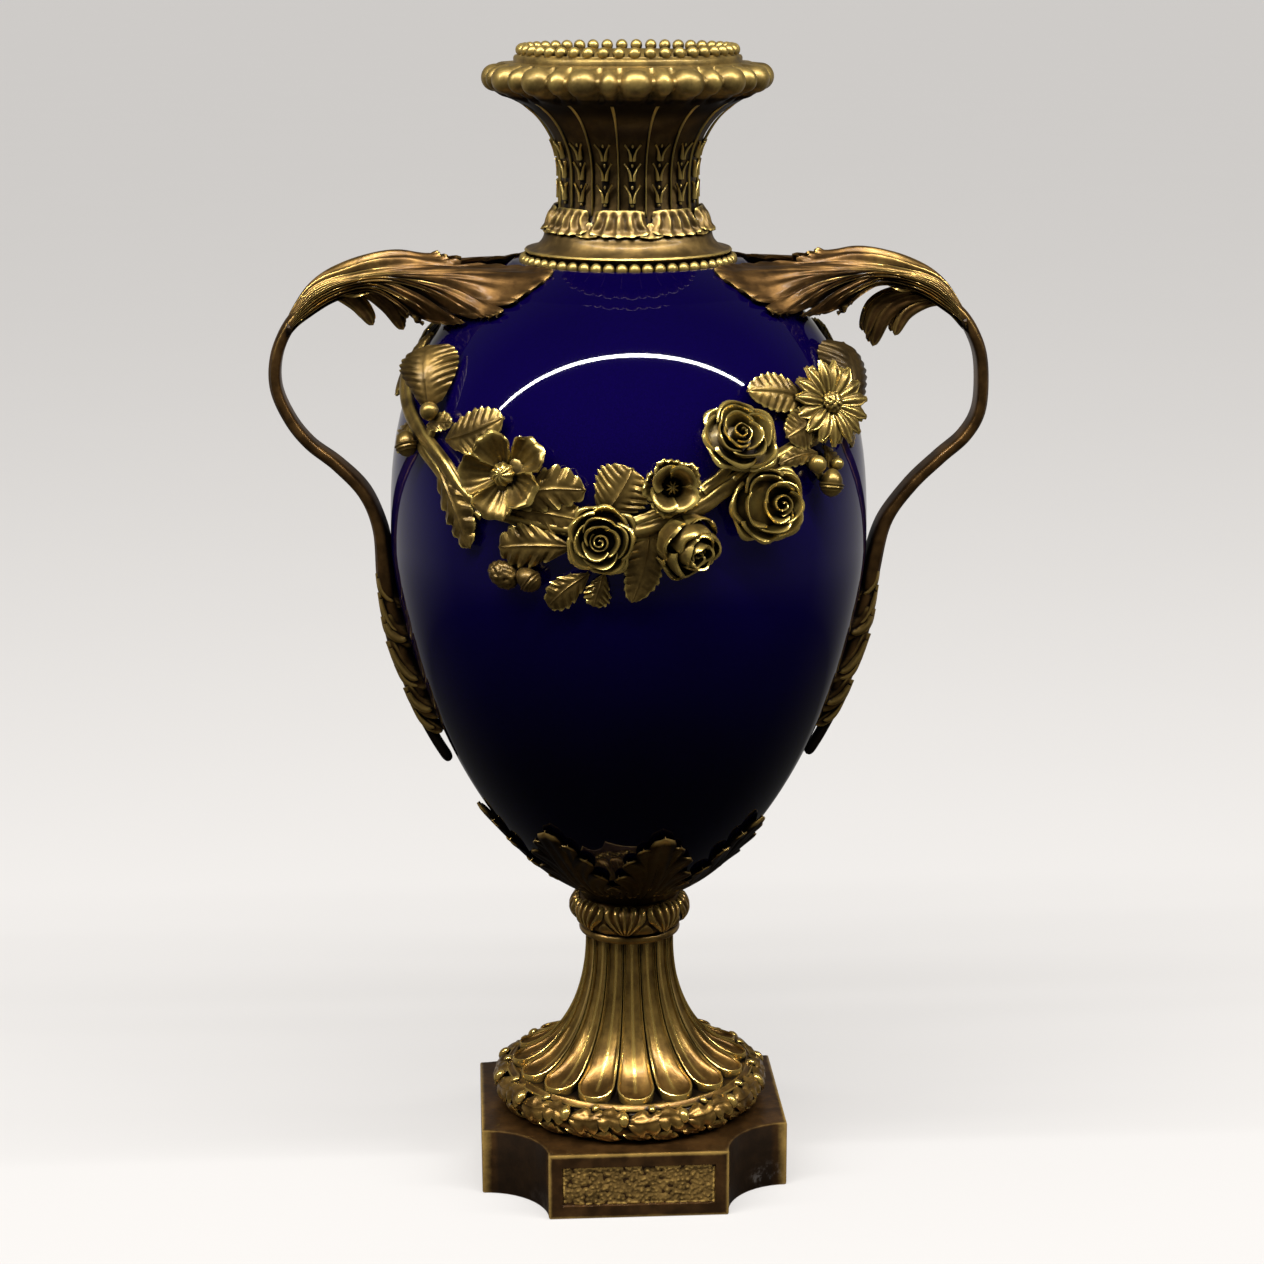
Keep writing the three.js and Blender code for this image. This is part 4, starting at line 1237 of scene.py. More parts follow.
def make_handle(name, turn, line, twist, fingers, lifted):
    """One handle: its strap on a line and with a twist, the leaf under it, and a shoulder leaf with
    its wings lifted a little, all turned round the axis."""
    sizes = settings().handle
    leafed = shoulder_leaf(lifted)
    outer = corners(leafed)
    gilded_and_shaded(leafed, 0.22 * smooth(0.105, 0.135, outer[:, 0]) - 0.26 * smooth(0.15, 0.178, outer[:, 0]))
    parts = [strap(sizes, line, twist), leafed, under_leaf(fingers), tail_leaf(sizes)]
    casting = joined(name, parts)
    casting.data.transform(Matrix.Rotation(turn, 4, "Z"))
    return casting




# ---- flowers and leaves of the garlands


def whorl_petal(start, end, half_turn, foot, top, rolled=1.5, wave=0.03, across=16, up=8):
    """Petal of a rose: a bellied wall that rises from one radius, opens to another and, where rolled is
    over 1.6, turns over at its waved rim."""

    def place(u, v):
        side = 2 * u - 1
        tuck = 1 - 0.17 * np.abs(side) ** 3
        belly = 0.1 * end * np.sin(math.pi * v) * (1 - side**2)
        radius = start + (end * tuck - start) * v**1.5 + belly + 0.0006 * side
        radius = radius * (1 + wave * np.cos(4.6 * side + 0.9) * v**2)
        height = foot + (top - foot) * np.sin(rolled * v) / math.sin(min(rolled, math.pi / 2))
        frill = 1 - 0.2 * side**2 + 0.8 * wave * np.sin(6.5 * side + 1.3)
        swing = half_turn * side * (0.8 + 0.2 * v)
        return np.column_stack([radius * np.sin(swing), radius * np.cos(swing), height * frill])

    return thickened(surface("petal", across, up, place), 0.0011)


def spun_copies(pattern, copies, first=0.0, tilt=0.0):
    """Copies of a petal round a flower's own axis; the pattern itself goes."""
    parts = []
    for k in range(copies):
        petal = copied(pattern)
        lean = Matrix.Rotation(tilt * math.sin(2.4 * k + 1), 4, "X")
        petal.data.transform(Matrix.Rotation(first + TURN * k / copies, 4, "Z") @ lean)
        parts.append(petal)
    dropped(pattern)
    return parts


def whorls(rows, radius, depth, foot, wave, tilt, first=0.0):
    """Whorls of petals: radius at the foot and at the rim, half angle in degrees, copies, height, how
    far the rim turns over and the turn of the whorl."""
    parts = []
    for start, end, half_turn, copies, top, rolled, turned_by in rows:
        half = math.radians(half_turn)
        petal = whorl_petal(start * radius, end * radius, half, foot, top * depth, rolled, wave)
        parts += spun_copies(petal, copies, first + turned_by, tilt)
    return parts


def rose_heart(radius, height, turns):
    """Rolled heart of a rose: one petal wound in a spiral."""

    def place(u, v):
        swing = TURN * turns * u
        spiral = radius * (0.1 + 0.9 * u**0.9) + 0.16 * radius * v**4
        rise = height * (1.0 - 0.16 * u) * np.sin(1.95 * v) * (1 + 0.04 * np.sin(3.3 * swing))
        return np.column_stack([spiral * np.sin(swing), spiral * np.cos(swing), rise])

    return thickened(surface("heart", 56, 7, place), 0.0008)


def mound(radius, height):
    """Low dome that closes the middle of a flower."""
    cap = ball("mound", radius, rings=8, segments=20)
    move_corners(cap, corners(cap) * (1, 1, height / radius))
    return cap


ROSE_WHORLS = [
    (0.5, 0.76, 52, 4, 0.86, 1.78, 1.1),
    (0.66, 0.98, 44, 5, 0.6, 2.1, 0.4),
    (0.72, 1.06, 34, 4, 0.26, 2.25, 1.5),
]
HALF_OPEN_WHORLS = [
    (0.34, 0.3, 92, 3, 1.25, 1.5, 0.3),
    (0.56, 0.46, 74, 3, 1.12, 1.55, 1.3),
    (0.74, 0.72, 58, 3, 0.92, 1.72, 0.2),
    (0.84, 1.02, 44, 4, 0.52, 2.15, 0.9),
]


def rose(radius, depth, first=0.0, turns=1.7, aside=0.0, lean=0.0):
    """Full rose: a spiral heart inside whorls of bellied petals, the outer ones broad and turned over.
    aside moves the heart off the middle, as a part of the radius, and lean tips the flower upwards."""
    heart = [rose_heart(0.27 * radius, 1.04 * depth, turns)]
    petal = whorl_petal(0.3 * radius, 0.52 * radius, math.radians(68), 0, 1.0 * depth, 1.62, 0.05)
    heart += spun_copies(petal, 3, first, 0.1)
    for piece in heart:
        piece.data.transform(Matrix.Translation((aside * radius, 0, 0)))
    petals = whorls(ROSE_WHORLS, radius, depth, -0.002, 0.05, 0.1, first)
    flower = joined("rose", heart + petals + [mound(0.86 * radius, 0.3 * depth)])
    flower.data.transform(Matrix.Rotation(math.radians(-lean), 4, "X"))
    return gilded_and_shaded(flower, 0.42)


def half_open_rose(radius, depth):
    """Rose just opening: broad petals lapped round a closed heart that looks down to one side."""
    parts = [mound(0.72 * radius, 0.95 * depth), rose_heart(0.2 * radius, 1.22 * depth, 1.3)]
    parts += whorls(HALF_OPEN_WHORLS, radius, depth, -0.3 * depth, 0.07, 0.12)
    bud = joined("half_open_rose", parts)
    aside = Matrix.Rotation(math.radians(26), 4, (0.75, 0.65, 0))
    bud.data.transform(Matrix.Translation((0, 0, 0.25 * depth)) @ aside)
    return bud


def open_petal(start, end, width, foot, top):
    """Broad cupped petal: grooved floor, raised sides and a blunt pointed rim that turns over."""
    ribs = 5

    def place(u, v):
        side = 2 * u - 1
        half = width / 2 * (0.2 + 0.84 * np.sin(math.pi / 2 * np.clip(1.12 * v, 0, 1.3)) ** 1.15)
        x = half * side * (1 - 0.3 * smooth(0.62, 1.0, v) * np.abs(side) ** 2)
        rim = 1 - 0.2 * np.abs(side) ** 1.6 + 0.03 * np.sin(7 * side)
        y = start + (end - start) * v * (1 + (rim - 1) * v)
        rise = (top - foot) * (v**1.5 - 0.42 * smooth(0.8, 1.0, v))
        sides = 0.004 * np.abs(side) ** 2.2 * np.sin(math.pi * (0.1 + 0.8 * v))
        bowl = foot + rise + sides + 0.0016 * side * v
        ripple = np.cos(math.pi * ribs * side) * np.sin(math.pi * v) ** 1.2
        veins = 0.0003 * ripple * (1 - 0.4 * np.abs(side))
        edge = np.maximum(np.abs(side) ** 3 * smooth(0.15, 0.5, v), v**4)
        lip = 0.0015 * smooth(0.42, 0.82, edge) - 0.0012 * smooth(0.86, 1.0, edge)
        return np.column_stack([x, y, bowl + veins + lip])

    return thickened(surface("open_petal", 26, 13, place), 0.0012)


def swing_of(spots):
    """Angle of each place round a flower's own axis."""
    return np.arctan2(spots[:, 0], spots[:, 1])


def wild_rose(radius):
    """Five broad cupped petals round a dome of winding ridges."""
    petal = open_petal(0.16 * radius, 1.08 * radius, 1.04 * radius, 0.0014, 0.0106)
    parts = [mound(0.5 * radius, 0.0038)] + spun_copies(petal, 5, 0.22, 0.16)
    boss_radius = 0.27 * radius
    boss = ball("boss", boss_radius, rings=20, segments=60)
    spots = corners(boss)
    out = np.hypot(spots[:, 0], spots[:, 1]) / boss_radius
    ribs = 1 + 0.06 * np.cos(9 * swing_of(spots) + 4.5 * out) * smooth(0.1, 0.5, out)
    move_corners(boss, spots * np.column_stack([ribs, ribs, 0.85 * ribs]) + (0, 0, 0.006))
    return joined("wild_rose", parts + [gilded_and_shaded(boss, 0.2)])


def pitted_boss(radius, height, pits, depth):
    """Dome covered with small rounded seeds, set out in the spirals of a sunflower."""
    boss = ball("boss", radius, rings=26, segments=56)
    base = corners(boss) / radius
    steps = np.arange(pits) + 0.5
    tilt = np.arccos(1 - 2 * steps / pits)
    swing = math.pi * (1 + math.sqrt(5)) * steps
    seeds = np.column_stack([np.sin(tilt) * np.cos(swing), np.sin(tilt) * np.sin(swing), np.cos(tilt)])
    near = (base @ seeds.T).max(axis=1)
    size = math.sqrt(4 * math.pi / pits) / 2
    swell = np.sqrt(np.clip(1 - (np.arccos(np.clip(near, -1, 1)) / (1.25 * size)) ** 2, 0, 1))
    move_corners(boss, base * (radius - depth + depth * swell)[:, None] * (1, 1, height / radius))
    return boss


def daisy(radius):
    """Long creased rays with blunt points round a seeded disc, over a second row behind them."""
    rays = []
    for row, (reach, rays_in_row, first) in enumerate(((0.98, 13, 0.24), (1.04, 15, 0.0))):

        def place(u, v, reach=reach, row=row):
            side = 2 * u - 1
            point = 1 - 0.86 * smooth(0.6, 1.0, v) ** 1.5
            half = 0.14 * radius * (0.5 + 0.62 * np.sin(2.0 * v)) * point
            crease = 0.0007 * np.cos(math.pi * side) * (1 - 0.4 * v) + 0.0006 * np.abs(side) ** 3
            height = 0.003 + 0.002 * row + 0.0022 * np.sin(2.6 * v) - 0.0012 * v**2 + crease
            return np.column_stack([half * side, radius * (0.2 + (reach - 0.2) * v), height])

        ray = thickened(surface("ray", 12, 10, place), 0.0011)
        rays += spun_copies(ray, rays_in_row, first, 0.05)
    disc = pitted_boss(0.28 * radius, 0.0046, 64, 0.0014)
    disc.data.transform(Matrix.Translation((0, 0, 0.0058)))
    return joined("daisy", rays + [disc, mound(0.6 * radius, 0.0042)])


def poppy(radius):
    """Deep cup of thin petals round a small star, with ribbed petals behind it."""
    cup = whorl_petal(0.3 * radius, 0.86 * radius, math.radians(54), 0.0012, 0.0135, 1.6, 0.03)
    outer = whorl_petal(0.62 * radius, 1.04 * radius, math.radians(40), -0.002, 0.0078, 2.0, 0.05)
    spots = corners(outer)
    move_corners(outer, spots * (1 + 0.035 * np.cos(26 * swing_of(spots)))[:, None])
    parts = spun_copies(cup, 4, 0.55, 0.06) + spun_copies(outer, 5, 0.0, 0.08)
    star = ball("star", 0.24 * radius, rings=10, segments=48)
    spots = corners(star)
    arms = 1 + 0.3 * np.cos(8 * swing_of(spots))
    move_corners(star, spots * np.column_stack([arms, arms, np.full_like(arms, 0.9)]) + (0, 0, 0.0036))
    return joined("poppy", parts + [star, mound(0.55 * radius, 0.003)])


def blackberry(radius):
    """Long berry of many seeds."""
    berry = pitted_boss(radius, 0.92 * radius, 60, 0.0012)
    berry.data.transform(Matrix.Translation((0, 0, 0.75 * radius)) @ Matrix.Scale(1.32, 4, (0, 1, 0)))
    return berry


def plain_berry(radius):
    berry = ball("berry", radius, rings=12, segments=18)
    berry.data.transform(Matrix.Translation((0, 0, 0.8 * radius)))
    return berry


def acorn(radius):
    """Nut in a ringed cup."""
    profile = []
    for k in range(19):
        t = k / 18
        swell = math.sin(math.pi * t) ** 0.55
        ring = 0.045 * math.cos(9 * TURN * t) if t < 0.5 else 0.0
        step = 1.1 if t < 0.5 else 0.94
        profile.append((max(0.0, radius * swell * (step + ring)), 1.25 * radius * (1 - 2 * t)))
    nut = turned("acorn", profile, 20)
    nut.data.transform(Matrix.Translation((0, 0, 0.9 * radius)) @ Matrix.Rotation(math.pi / 2, 4, "X"))
    return nut


# The three cuts of leaf in the garlands.
LEAF_CUTS = {
    "serrate": dict(
        lobes=8, notch=0.13, saw=1.8, belly=0.44, sweep=0.6, crown=0.24, ridge=0.075, rib=0.1,
        curl=0.12, side_curl=0.12, wall=0.0013, detail=6, across=11, stalk=0.16,
    ),
    "feather": dict(
        lobes=5, notch=0.2, saw=1.4, belly=0.46, sweep=0.95, crown=0.26, ridge=0.15, rib=0.12,
        curl=0.1, side_curl=0.1, wall=0.0013, detail=9, across=11, stalk=0.2,
    ),
    "round": dict(
        lobes=9, notch=0.07, saw=1.5, belly=0.56, sweep=0.55, crown=0.3, ridge=0.035, rib=0.06,
        curl=-0.1, side_curl=-0.1, wall=0.0014, detail=6, across=13, stalk=0.36,
    ),
}


def standing_leaf(face, angle, height, reach, width, cut, roll, lift, turn):
    """Leaf that stands off the body, turned to the front."""
    blade = leaf("leaf", reach, width, **LEAF_CUTS[cut])
    blade.data.transform(Matrix.Translation((0, -reach / 2, 0)))
    return face.stand(blade, math.radians(angle), face.run_at(height), math.radians(roll), lift, turn)


def laid_leaf(face, start, end, width, cut, lift=0.003, bow=0.0):
    """Leaf from one (angle in degrees, height) to another on the body."""
    run_start, run_end = face.run_at(start[1]), face.run_at(end[1])
    radius = float(np.interp((run_start + run_end) / 2, face.run, face.radius))
    east = math.radians(end[0] - start[0]) * radius
    north = run_end - run_start
    blade = leaf("leaf", math.hypot(east, north) * 0.97, width, **LEAF_CUTS[cut], bow=bow)
    return face.lay(blade, math.radians(start[0]), run_start, -math.atan2(east, north), lift)


def stem(face, points, radius, taper=0.35):
    """Twig of strands grown together that follows (angle in degrees, height) points on the body."""
    steps = 14 * (len(points) - 1)

    def spot(v):
        places = smooth_line(points, v)
        run = np.interp(places[:, 1], face.height, face.run)
        return np.radians(places[:, 0]), run

    def place(u, v):
        angle, run = spot(v)
        round_radius = np.interp(run, face.run, face.radius)
        ahead, behind = spot(np.clip(v + 0.01, 0, 1)), spot(np.clip(v - 0.01, 0, 1))
        east, north = (ahead[0] - behind[0]) * round_radius, ahead[1] - behind[1]
        size = np.hypot(east, north)
        turn = TURN * u
        strands = 0.92 + 0.34 * np.abs(np.cos(2.0 * turn + 3.4 * v)) ** 0.8 + 0.05 * np.sin(23 * v + turn)
        thick = radius * (1 - taper * v) * strands
        beside = 1.15 * np.cos(turn) * thick
        return face.place(
            angle + beside * north / size / round_radius,
            run - beside * east / size,
            0.85 * np.sin(turn) * thick + 0.7 * radius + 0.001,
        )

    return capped(surface("stem", 26, steps, place))


# Twigs of the front garland as lines of (angle in degrees, height): two long ones, then side twigs.
FRONT_STEMS = [
    [
        (-86, 0.442), (-74, 0.43), (-64, 0.4215), (-58, 0.416), (-49.6, 0.407), (-42, 0.3945),
        (-31, 0.387), (-8, 0.38),
    ],
    [
        (-8, 0.38), (4, 0.3854), (12.8, 0.393), (18.2, 0.4), (27, 0.408), (37.4, 0.4159),
        (49.3, 0.4215), (84, 0.45),
    ],
    [(-66, 0.419), (-60, 0.412), (-52.5, 0.4035), (-45.5, 0.3935), (-38, 0.385)],
    [(-2, 0.3865), (7, 0.3935), (14, 0.4), (22, 0.4075), (31, 0.4135)],
    [(-5, 0.379), (3, 0.3805), (11, 0.386)],
    [(-58, 0.416), (-57, 0.43)],
    [(-62, 0.42), (-65, 0.411)],
    [(-20, 0.381), (-31, 0.36)],
    [(2, 0.384), (9, 0.376)],
    [(13, 0.4), (18.5, 0.4085), (22, 0.419)],
    [(27, 0.409), (29, 0.396)],
    [(36, 0.416), (42, 0.4095), (46.5, 0.399)],
]
# Leaves that lie on the body: start, end, width, cut, lift and sideways bow.
FRONT_LEAVES = [
    ((-80, 0.462), (-88, 0.428), 0.02, "feather", 0.004, 0.05),
    ((-66.3, 0.4235), (-72.0, 0.4055), 0.0125, "feather", 0.0044, 0.08),
    ((-58.5, 0.423), (-48.6, 0.427), 0.01, "feather", 0.0048, -0.05),
    ((-50.5, 0.4185), (-33.5, 0.4325), 0.0225, "serrate", 0.004, 0.05),
    ((-51.9, 0.406), (-40.2, 0.368), 0.019, "feather", 0.0034, -0.06),
    ((-31.2, 0.389), (-13.0, 0.3868), 0.0215, "feather", 0.003, -0.05),
    ((-30.8, 0.3945), (-12.2, 0.4018), 0.0215, "feather", 0.005, -0.08),
    ((-15.8, 0.3748), (-33.0, 0.3714), 0.0225, "feather", 0.0042, 0.04),
    ((-12.0, 0.362), (-21.4, 0.3442), 0.0155, "feather", 0.0034, 0.04),
    ((-8.7, 0.362), (-11.2, 0.3452), 0.0135, "feather", 0.0028, 0.0),
    ((-9.4, 0.388), (-2.4, 0.4125), 0.029, "serrate", 0.003, 0.04),
    ((1.2, 0.3835), (-2.9, 0.347), 0.018, "serrate", 0.0036, -0.04),
    ((45.2, 0.4361), (26.4, 0.444), 0.02, "serrate", 0.0044, 0.05),
    ((46.1, 0.431), (34.5, 0.4216), 0.02, "serrate", 0.005, -0.05),
    ((44.4, 0.4118), (31.4, 0.4098), 0.0095, "feather", 0.0056, 0.06),
    ((48.0, 0.415), (52.5, 0.401), 0.011, "feather", 0.004, 0.05),
    ((66.5, 0.433), (59.5, 0.4085), 0.012, "serrate", 0.004, 0.06),
]
# Leaves that stand off the body: angle, height, reach, width, cut, roll, lift and turn to the front.
STANDING_LEAVES = [
    (-60.5, 0.4445, 0.034, 0.033, "round", 14, 0.009, 0.55),
    (68.0, 0.44, 0.042, 0.038, "round", -22, 0.006, 0.3),
]


def front_flowers():
    """(piece, angle in degrees, height, roll, lift, turn to the front) for each flower and bud."""
    return [
        (wild_rose(0.0212), -31.2, 0.4066, 0.15, 0.0048, 0.3),
        (rose(0.0172, 0.0112, 0.6, 1.9), -9.2, 0.3782, 0.0, 0.0036, 0.0),
        (half_open_rose(0.0162, 0.0125), 8.4, 0.3764, 0.2, 0.003, 0.0),
        (poppy(0.014), 5.8, 0.4026, 0.3, 0.0034, 0.0),
        (rose(0.0192, 0.0125, 2.3, 1.6, -0.08, 20.0), 22.0, 0.4224, 0.0, 0.006, 0.3),
        (rose(0.0196, 0.013, 2.4, 1.5, 0.26), 27.4, 0.3925, 0.0, 0.0052, 0.4),
        (daisy(0.0212), 50.0, 0.4326, 0.1, 0.0072, 0.42),
        (gilded_and_shaded(plain_berry(0.0048), -0.1), -56.0, 0.4297, 0.0, 0.005, 0.0),
        (gilded_and_shaded(acorn(0.0056), -0.1), -64.0, 0.4126, 0.4, 0.004, 0.4),
        (gilded_and_shaded(blackberry(0.0066), -0.45), -31.0, 0.3586, 1.0, 0.002, 0.0),
        (gilded_and_shaded(acorn(0.0056), -0.45), -25.0, 0.3581, 0.9, 0.0024, 0.0),
        (plain_berry(0.0046), 42.3, 0.4066, 0.0, 0.0046, 0.0),
        (acorn(0.0058), 46.3, 0.3968, -0.2, 0.0046, 0.3),
        (plain_berry(0.0032), 49.5, 0.4052, 0.0, 0.0056, 0.0),
    ]


def make_garland_front():
    """Garland of the front: twigs, leaves laid on the body, leaves that stand off it, then flowers."""
    face = body_face()
    parts = [stem(face, points, 0.0033 if len(points) > 5 else 0.0024) for points in FRONT_STEMS]
    for start, end, width, cut, lift, bow in FRONT_LEAVES:
        parts.append(gilded_and_shaded(laid_leaf(face, start, end, width, cut, lift, bow), -0.04))
    # The standing leaves are darkened with painted shade, the right-hand one most.
    for angle, *leaf_values in STANDING_LEAVES:
        parts.append(gilded_and_shaded(standing_leaf(face, angle, *leaf_values), -0.5 - 0.0025 * angle))
    for flower, angle, height, roll, lift, turn in front_flowers():
        parts.append(face.stand(flower, math.radians(angle), face.run_at(height), roll, lift, turn))
    return joined("garland_front_casting", parts)


# The hidden side carries a plainer swag on the same line.
BACK_STEM = [
    (-84, 0.45), (-62, 0.424), (-38, 0.396), (-14, 0.38), (14, 0.38), (38, 0.396), (62, 0.424),
    (84, 0.45),
]
# Leaves of one half: start, end, width and cut.
BACK_LEAVES = [
    ((60, 0.434), (80, 0.46), 0.027, "serrate"),
    ((38, 0.398), (22, 0.411), 0.022, "feather"),
    ((34, 0.396), (42, 0.362), 0.018, "feather"),
    ((12, 0.382), (20, 0.348), 0.016, "serrate"),
    ((56, 0.42), (66, 0.392), 0.015, "feather"),
]


def make_garland_back():
    """Plainer swag, the same on both halves, turned to the hidden side."""
    face = body_face()
    parts = [stem(face, BACK_STEM, 0.0026, 0.0)]
    for side in (-1, 1):
        for (start, start_up), (end, end_up), width, cut in BACK_LEAVES:
            blade = laid_leaf(face, (side * start, start_up), (side * end, end_up), width, cut)
            parts.append(blade)
        berry = plain_berry(0.006)
        parts.append(face.stand(berry, side * math.radians(66), face.run_at(0.431), lift=0.003))
        flower, angle = wild_rose(0.0185), side * math.radians(50)
        parts.append(face.stand(flower, angle, face.run_at(0.4222), side * 0.5, 0.005, 0.2))
    parts.append(face.stand(rose(0.0185, 0.012), 0.0, face.run_at(0.381), 0.3, 0.004))
    casting = joined("garland_back_casting", parts)
    casting.data.transform(Matrix.Rotation(math.pi, 4, "Z"))
    return casting


# ---- patina and painted shade

# Sharpest bend that counts as a crest or a valley, per metre.
SHARPEST = 2500
RAYS = 8


def edge_ends(mesh):
    ends = np.empty(2 * len(mesh.edges), np.int32)
    mesh.edges.foreach_get("vertices", ends)
    return ends.reshape(-1, 2)


def vertex_normals(mesh):
    normals = np.empty(3 * len(mesh.vertices), np.float32)
    mesh.vertices.foreach_get("normal", normals)
    return normals.reshape(-1, 3).astype(float)


def averaged(values, ends, passes):
    """Each vertex's value averaged with its neighbours'."""
    size = len(values)
    neighbours = np.bincount(ends.ravel(), minlength=size) + 1.0
    for _ in range(passes):
        total = values.copy()
        total += np.bincount(ends[:, 0], weights=values[ends[:, 1]], minlength=size)
        total += np.bincount(ends[:, 1], weights=values[ends[:, 0]], minlength=size)
        values = total / neighbours
    return values


def crest_of(piece):
    """How sharply each vertex stands proud, per metre: the bend of the surface towards its neighbours."""
    mesh = piece.data
    ends = edge_ends(mesh)
    places, normals = corners(piece), vertex_normals(mesh)
    step = places[ends[:, 1]] - places[ends[:, 0]]
    turn = normals[ends[:, 1]] - normals[ends[:, 0]]
    bend = (step * turn).sum(axis=1) / np.maximum((step**2).sum(axis=1), 1e-8)
    size = len(places)
    total = sum(np.bincount(ends[:, side], weights=bend, minlength=size) for side in (0, 1))
    bend_of_vertex = total / np.maximum(np.bincount(ends.ravel(), minlength=size), 1)
    return averaged(np.clip(bend_of_vertex, -SHARPEST, SHARPEST), ends, 2)


def hollow_of(piece, neighbours, reach, rays):
    """How much of the view out of each vertex is shut off by metal or glaze close by."""
    places, normals = corners(piece), vertex_normals(piece.data)
    graph = bpy.context.evaluated_depsgraph_get()
    trees = [BVHTree.FromObject(other, graph) for other in (piece, *neighbours)]
    spread = np.random.default_rng(11).normal(size=(rays, 3))
    spread /= np.linalg.norm(spread, axis=1)[:, None]
    hollows_and_shade = np.zeros(len(places))
    starts = places + normals * 0.0004
    for way in spread:
        aim = normals * 1.05 + way
        aim /= np.maximum(np.linalg.norm(aim, axis=1), 1e-6)[:, None]
        for index, (start, direction) in enumerate(zip(starts.tolist(), aim.tolist())):
            nearest = reach
            for tree in trees:
                distance = tree.ray_cast(start, direction, nearest)[3]
                if distance is not None:
                    nearest = distance
            if nearest < reach:
                hollows_and_shade[index] += 1 - nearest / reach
    return averaged(hollows_and_shade / rays, edge_ends(piece.data), 1)


def marked_for_wear_and_shade(piece, neighbours=(), reach=0.011):
    """Stores the piece's crests, per millimetre, and its hollows for its metal to read: gold rubbed on the
    crests, dark wax and painted shade in the hollows.
    """
    bpy.context.view_layer.update()
    rays = RAYS
    marks = {"crest": crest_of(piece) / 1000, "hollow": hollow_of(piece, neighbours, reach, rays)}
    for name, values in marks.items():
        attribute = piece.data.attributes.new(name, "FLOAT", "POINT")
        attribute.data.foreach_set("value", values.astype(np.float32))
    return piece


# ---- metals and glaze


class Recipe:
    """Nodes being wired up for a material or for the surroundings."""

    def __init__(self, owner, shader="ShaderNodeBsdfPrincipled", output="ShaderNodeOutputMaterial"):
        owner.use_nodes = True
        self.owner = owner
        self.tree = owner.node_tree
        self.tree.nodes.clear()
        self.shader = self.node(shader)
        self.node(output, {"Surface": self.shader.outputs[0]})
        self.coordinates = self.node("ShaderNodeTexCoord").outputs
        self.place = self.coordinates["Object"]

    def node(self, kind, inputs=(), **values):
        """Adds a node, sets its values and fills its inputs."""
        made = self.tree.nodes.new(kind)
        for name, value in values.items():
            setattr(made, name, value)
        self.fill(made, inputs)
        return made

    def fill(self, made, inputs):
        """Fills a node's inputs, each with a socket to link or with a plain value."""
        for name, value in dict(inputs).items():
            if isinstance(value, bpy.types.NodeSocket):
                self.tree.links.new(value, made.inputs[name])
            else:
                made.inputs[name].default_value = value

    def maths(self, operation, first, second=0.0, third=0.0):
        inputs = {0: first, 1: second, 2: third}
        return self.node("ShaderNodeMath", inputs, operation=operation).outputs[0]

    def noise(self, scale, detail=3.0, roughness=0.55):
        """Soft mottling over the piece, finer where scale is larger."""
        inputs = {"Vector": self.place, "Scale": scale, "Detail": detail, "Roughness": roughness}
        return self.node("ShaderNodeTexNoise", inputs).outputs["Fac"]

    def mark(self, name):
        """A mark stored on the piece's vertices."""
        return self.node("ShaderNodeAttribute", attribute_name=name).outputs["Fac"]

    def spread(self, value, low, high, start=0.0, end=1.0, step="SMOOTHSTEP"):
        """value from low..high onto start..end, held at both ends."""
        inputs = {"Value": value, "From Min": low, "From Max": high, "To Min": start, "To Max": end}
        return self.node("ShaderNodeMapRange", inputs, interpolation_type=step).outputs["Result"]

    def mixed(self, share, first, second):
        """Two colours mixed: the first at share 0, the second at share 1."""
        inputs = {"Factor": share, "A": first, "B": second}
        return self.node("ShaderNodeMix", inputs, data_type="RGBA").outputs["Result"]

    def bumped(self, height, depth, strength):
        bump = self.node("ShaderNodeBump", {"Height": height, "Distance": depth, "Strength": strength})
        self.fill(self.shader, {"Normal": bump.outputs["Normal"]})


def paint(rgb, scale=1.0):
    """A colour, brightened or darkened, as a socket takes it."""
    return (rgb[0] * scale, rgb[1] * scale, rgb[2] * scale, 1.0)


# How the bronze of each casting differs from the plain recipe.
METALS = {
    "plinth_bronze": dict(
        rub=-0.14, warmth=(0.9, 0.66, 0.55), open_tone=0.34, metallic=0.6, wax=0.5, dust=True
    ),
    "socle_bronze": dict(rub=0.05, warmth=(1.08, 0.9, 0.66), open_tone=0.8, matt=-0.03, metallic=0.85),
    # The calyx is darkened all over as painted shade under the body.
    "calyx_shaded_bronze": dict(rub=-0.34, warmth=(0.8, 0.6, 0.6), open_tone=0.08, matt=0.1),
    "neck_bronze": dict(rub=0.06, open_tone=0.85, matt=0.1, metallic=0.84, wax=0.85),
    "handle_bronze": dict(rub=-0.04, warmth=(1.0, 0.83, 0.8), open_tone=0.62, matt=0.06),
    "garland_bronze": dict(rub=0.13, warmth=(0.97, 0.97, 0.8), open_tone=0.8, metallic=0.84, wax=0.72),
}


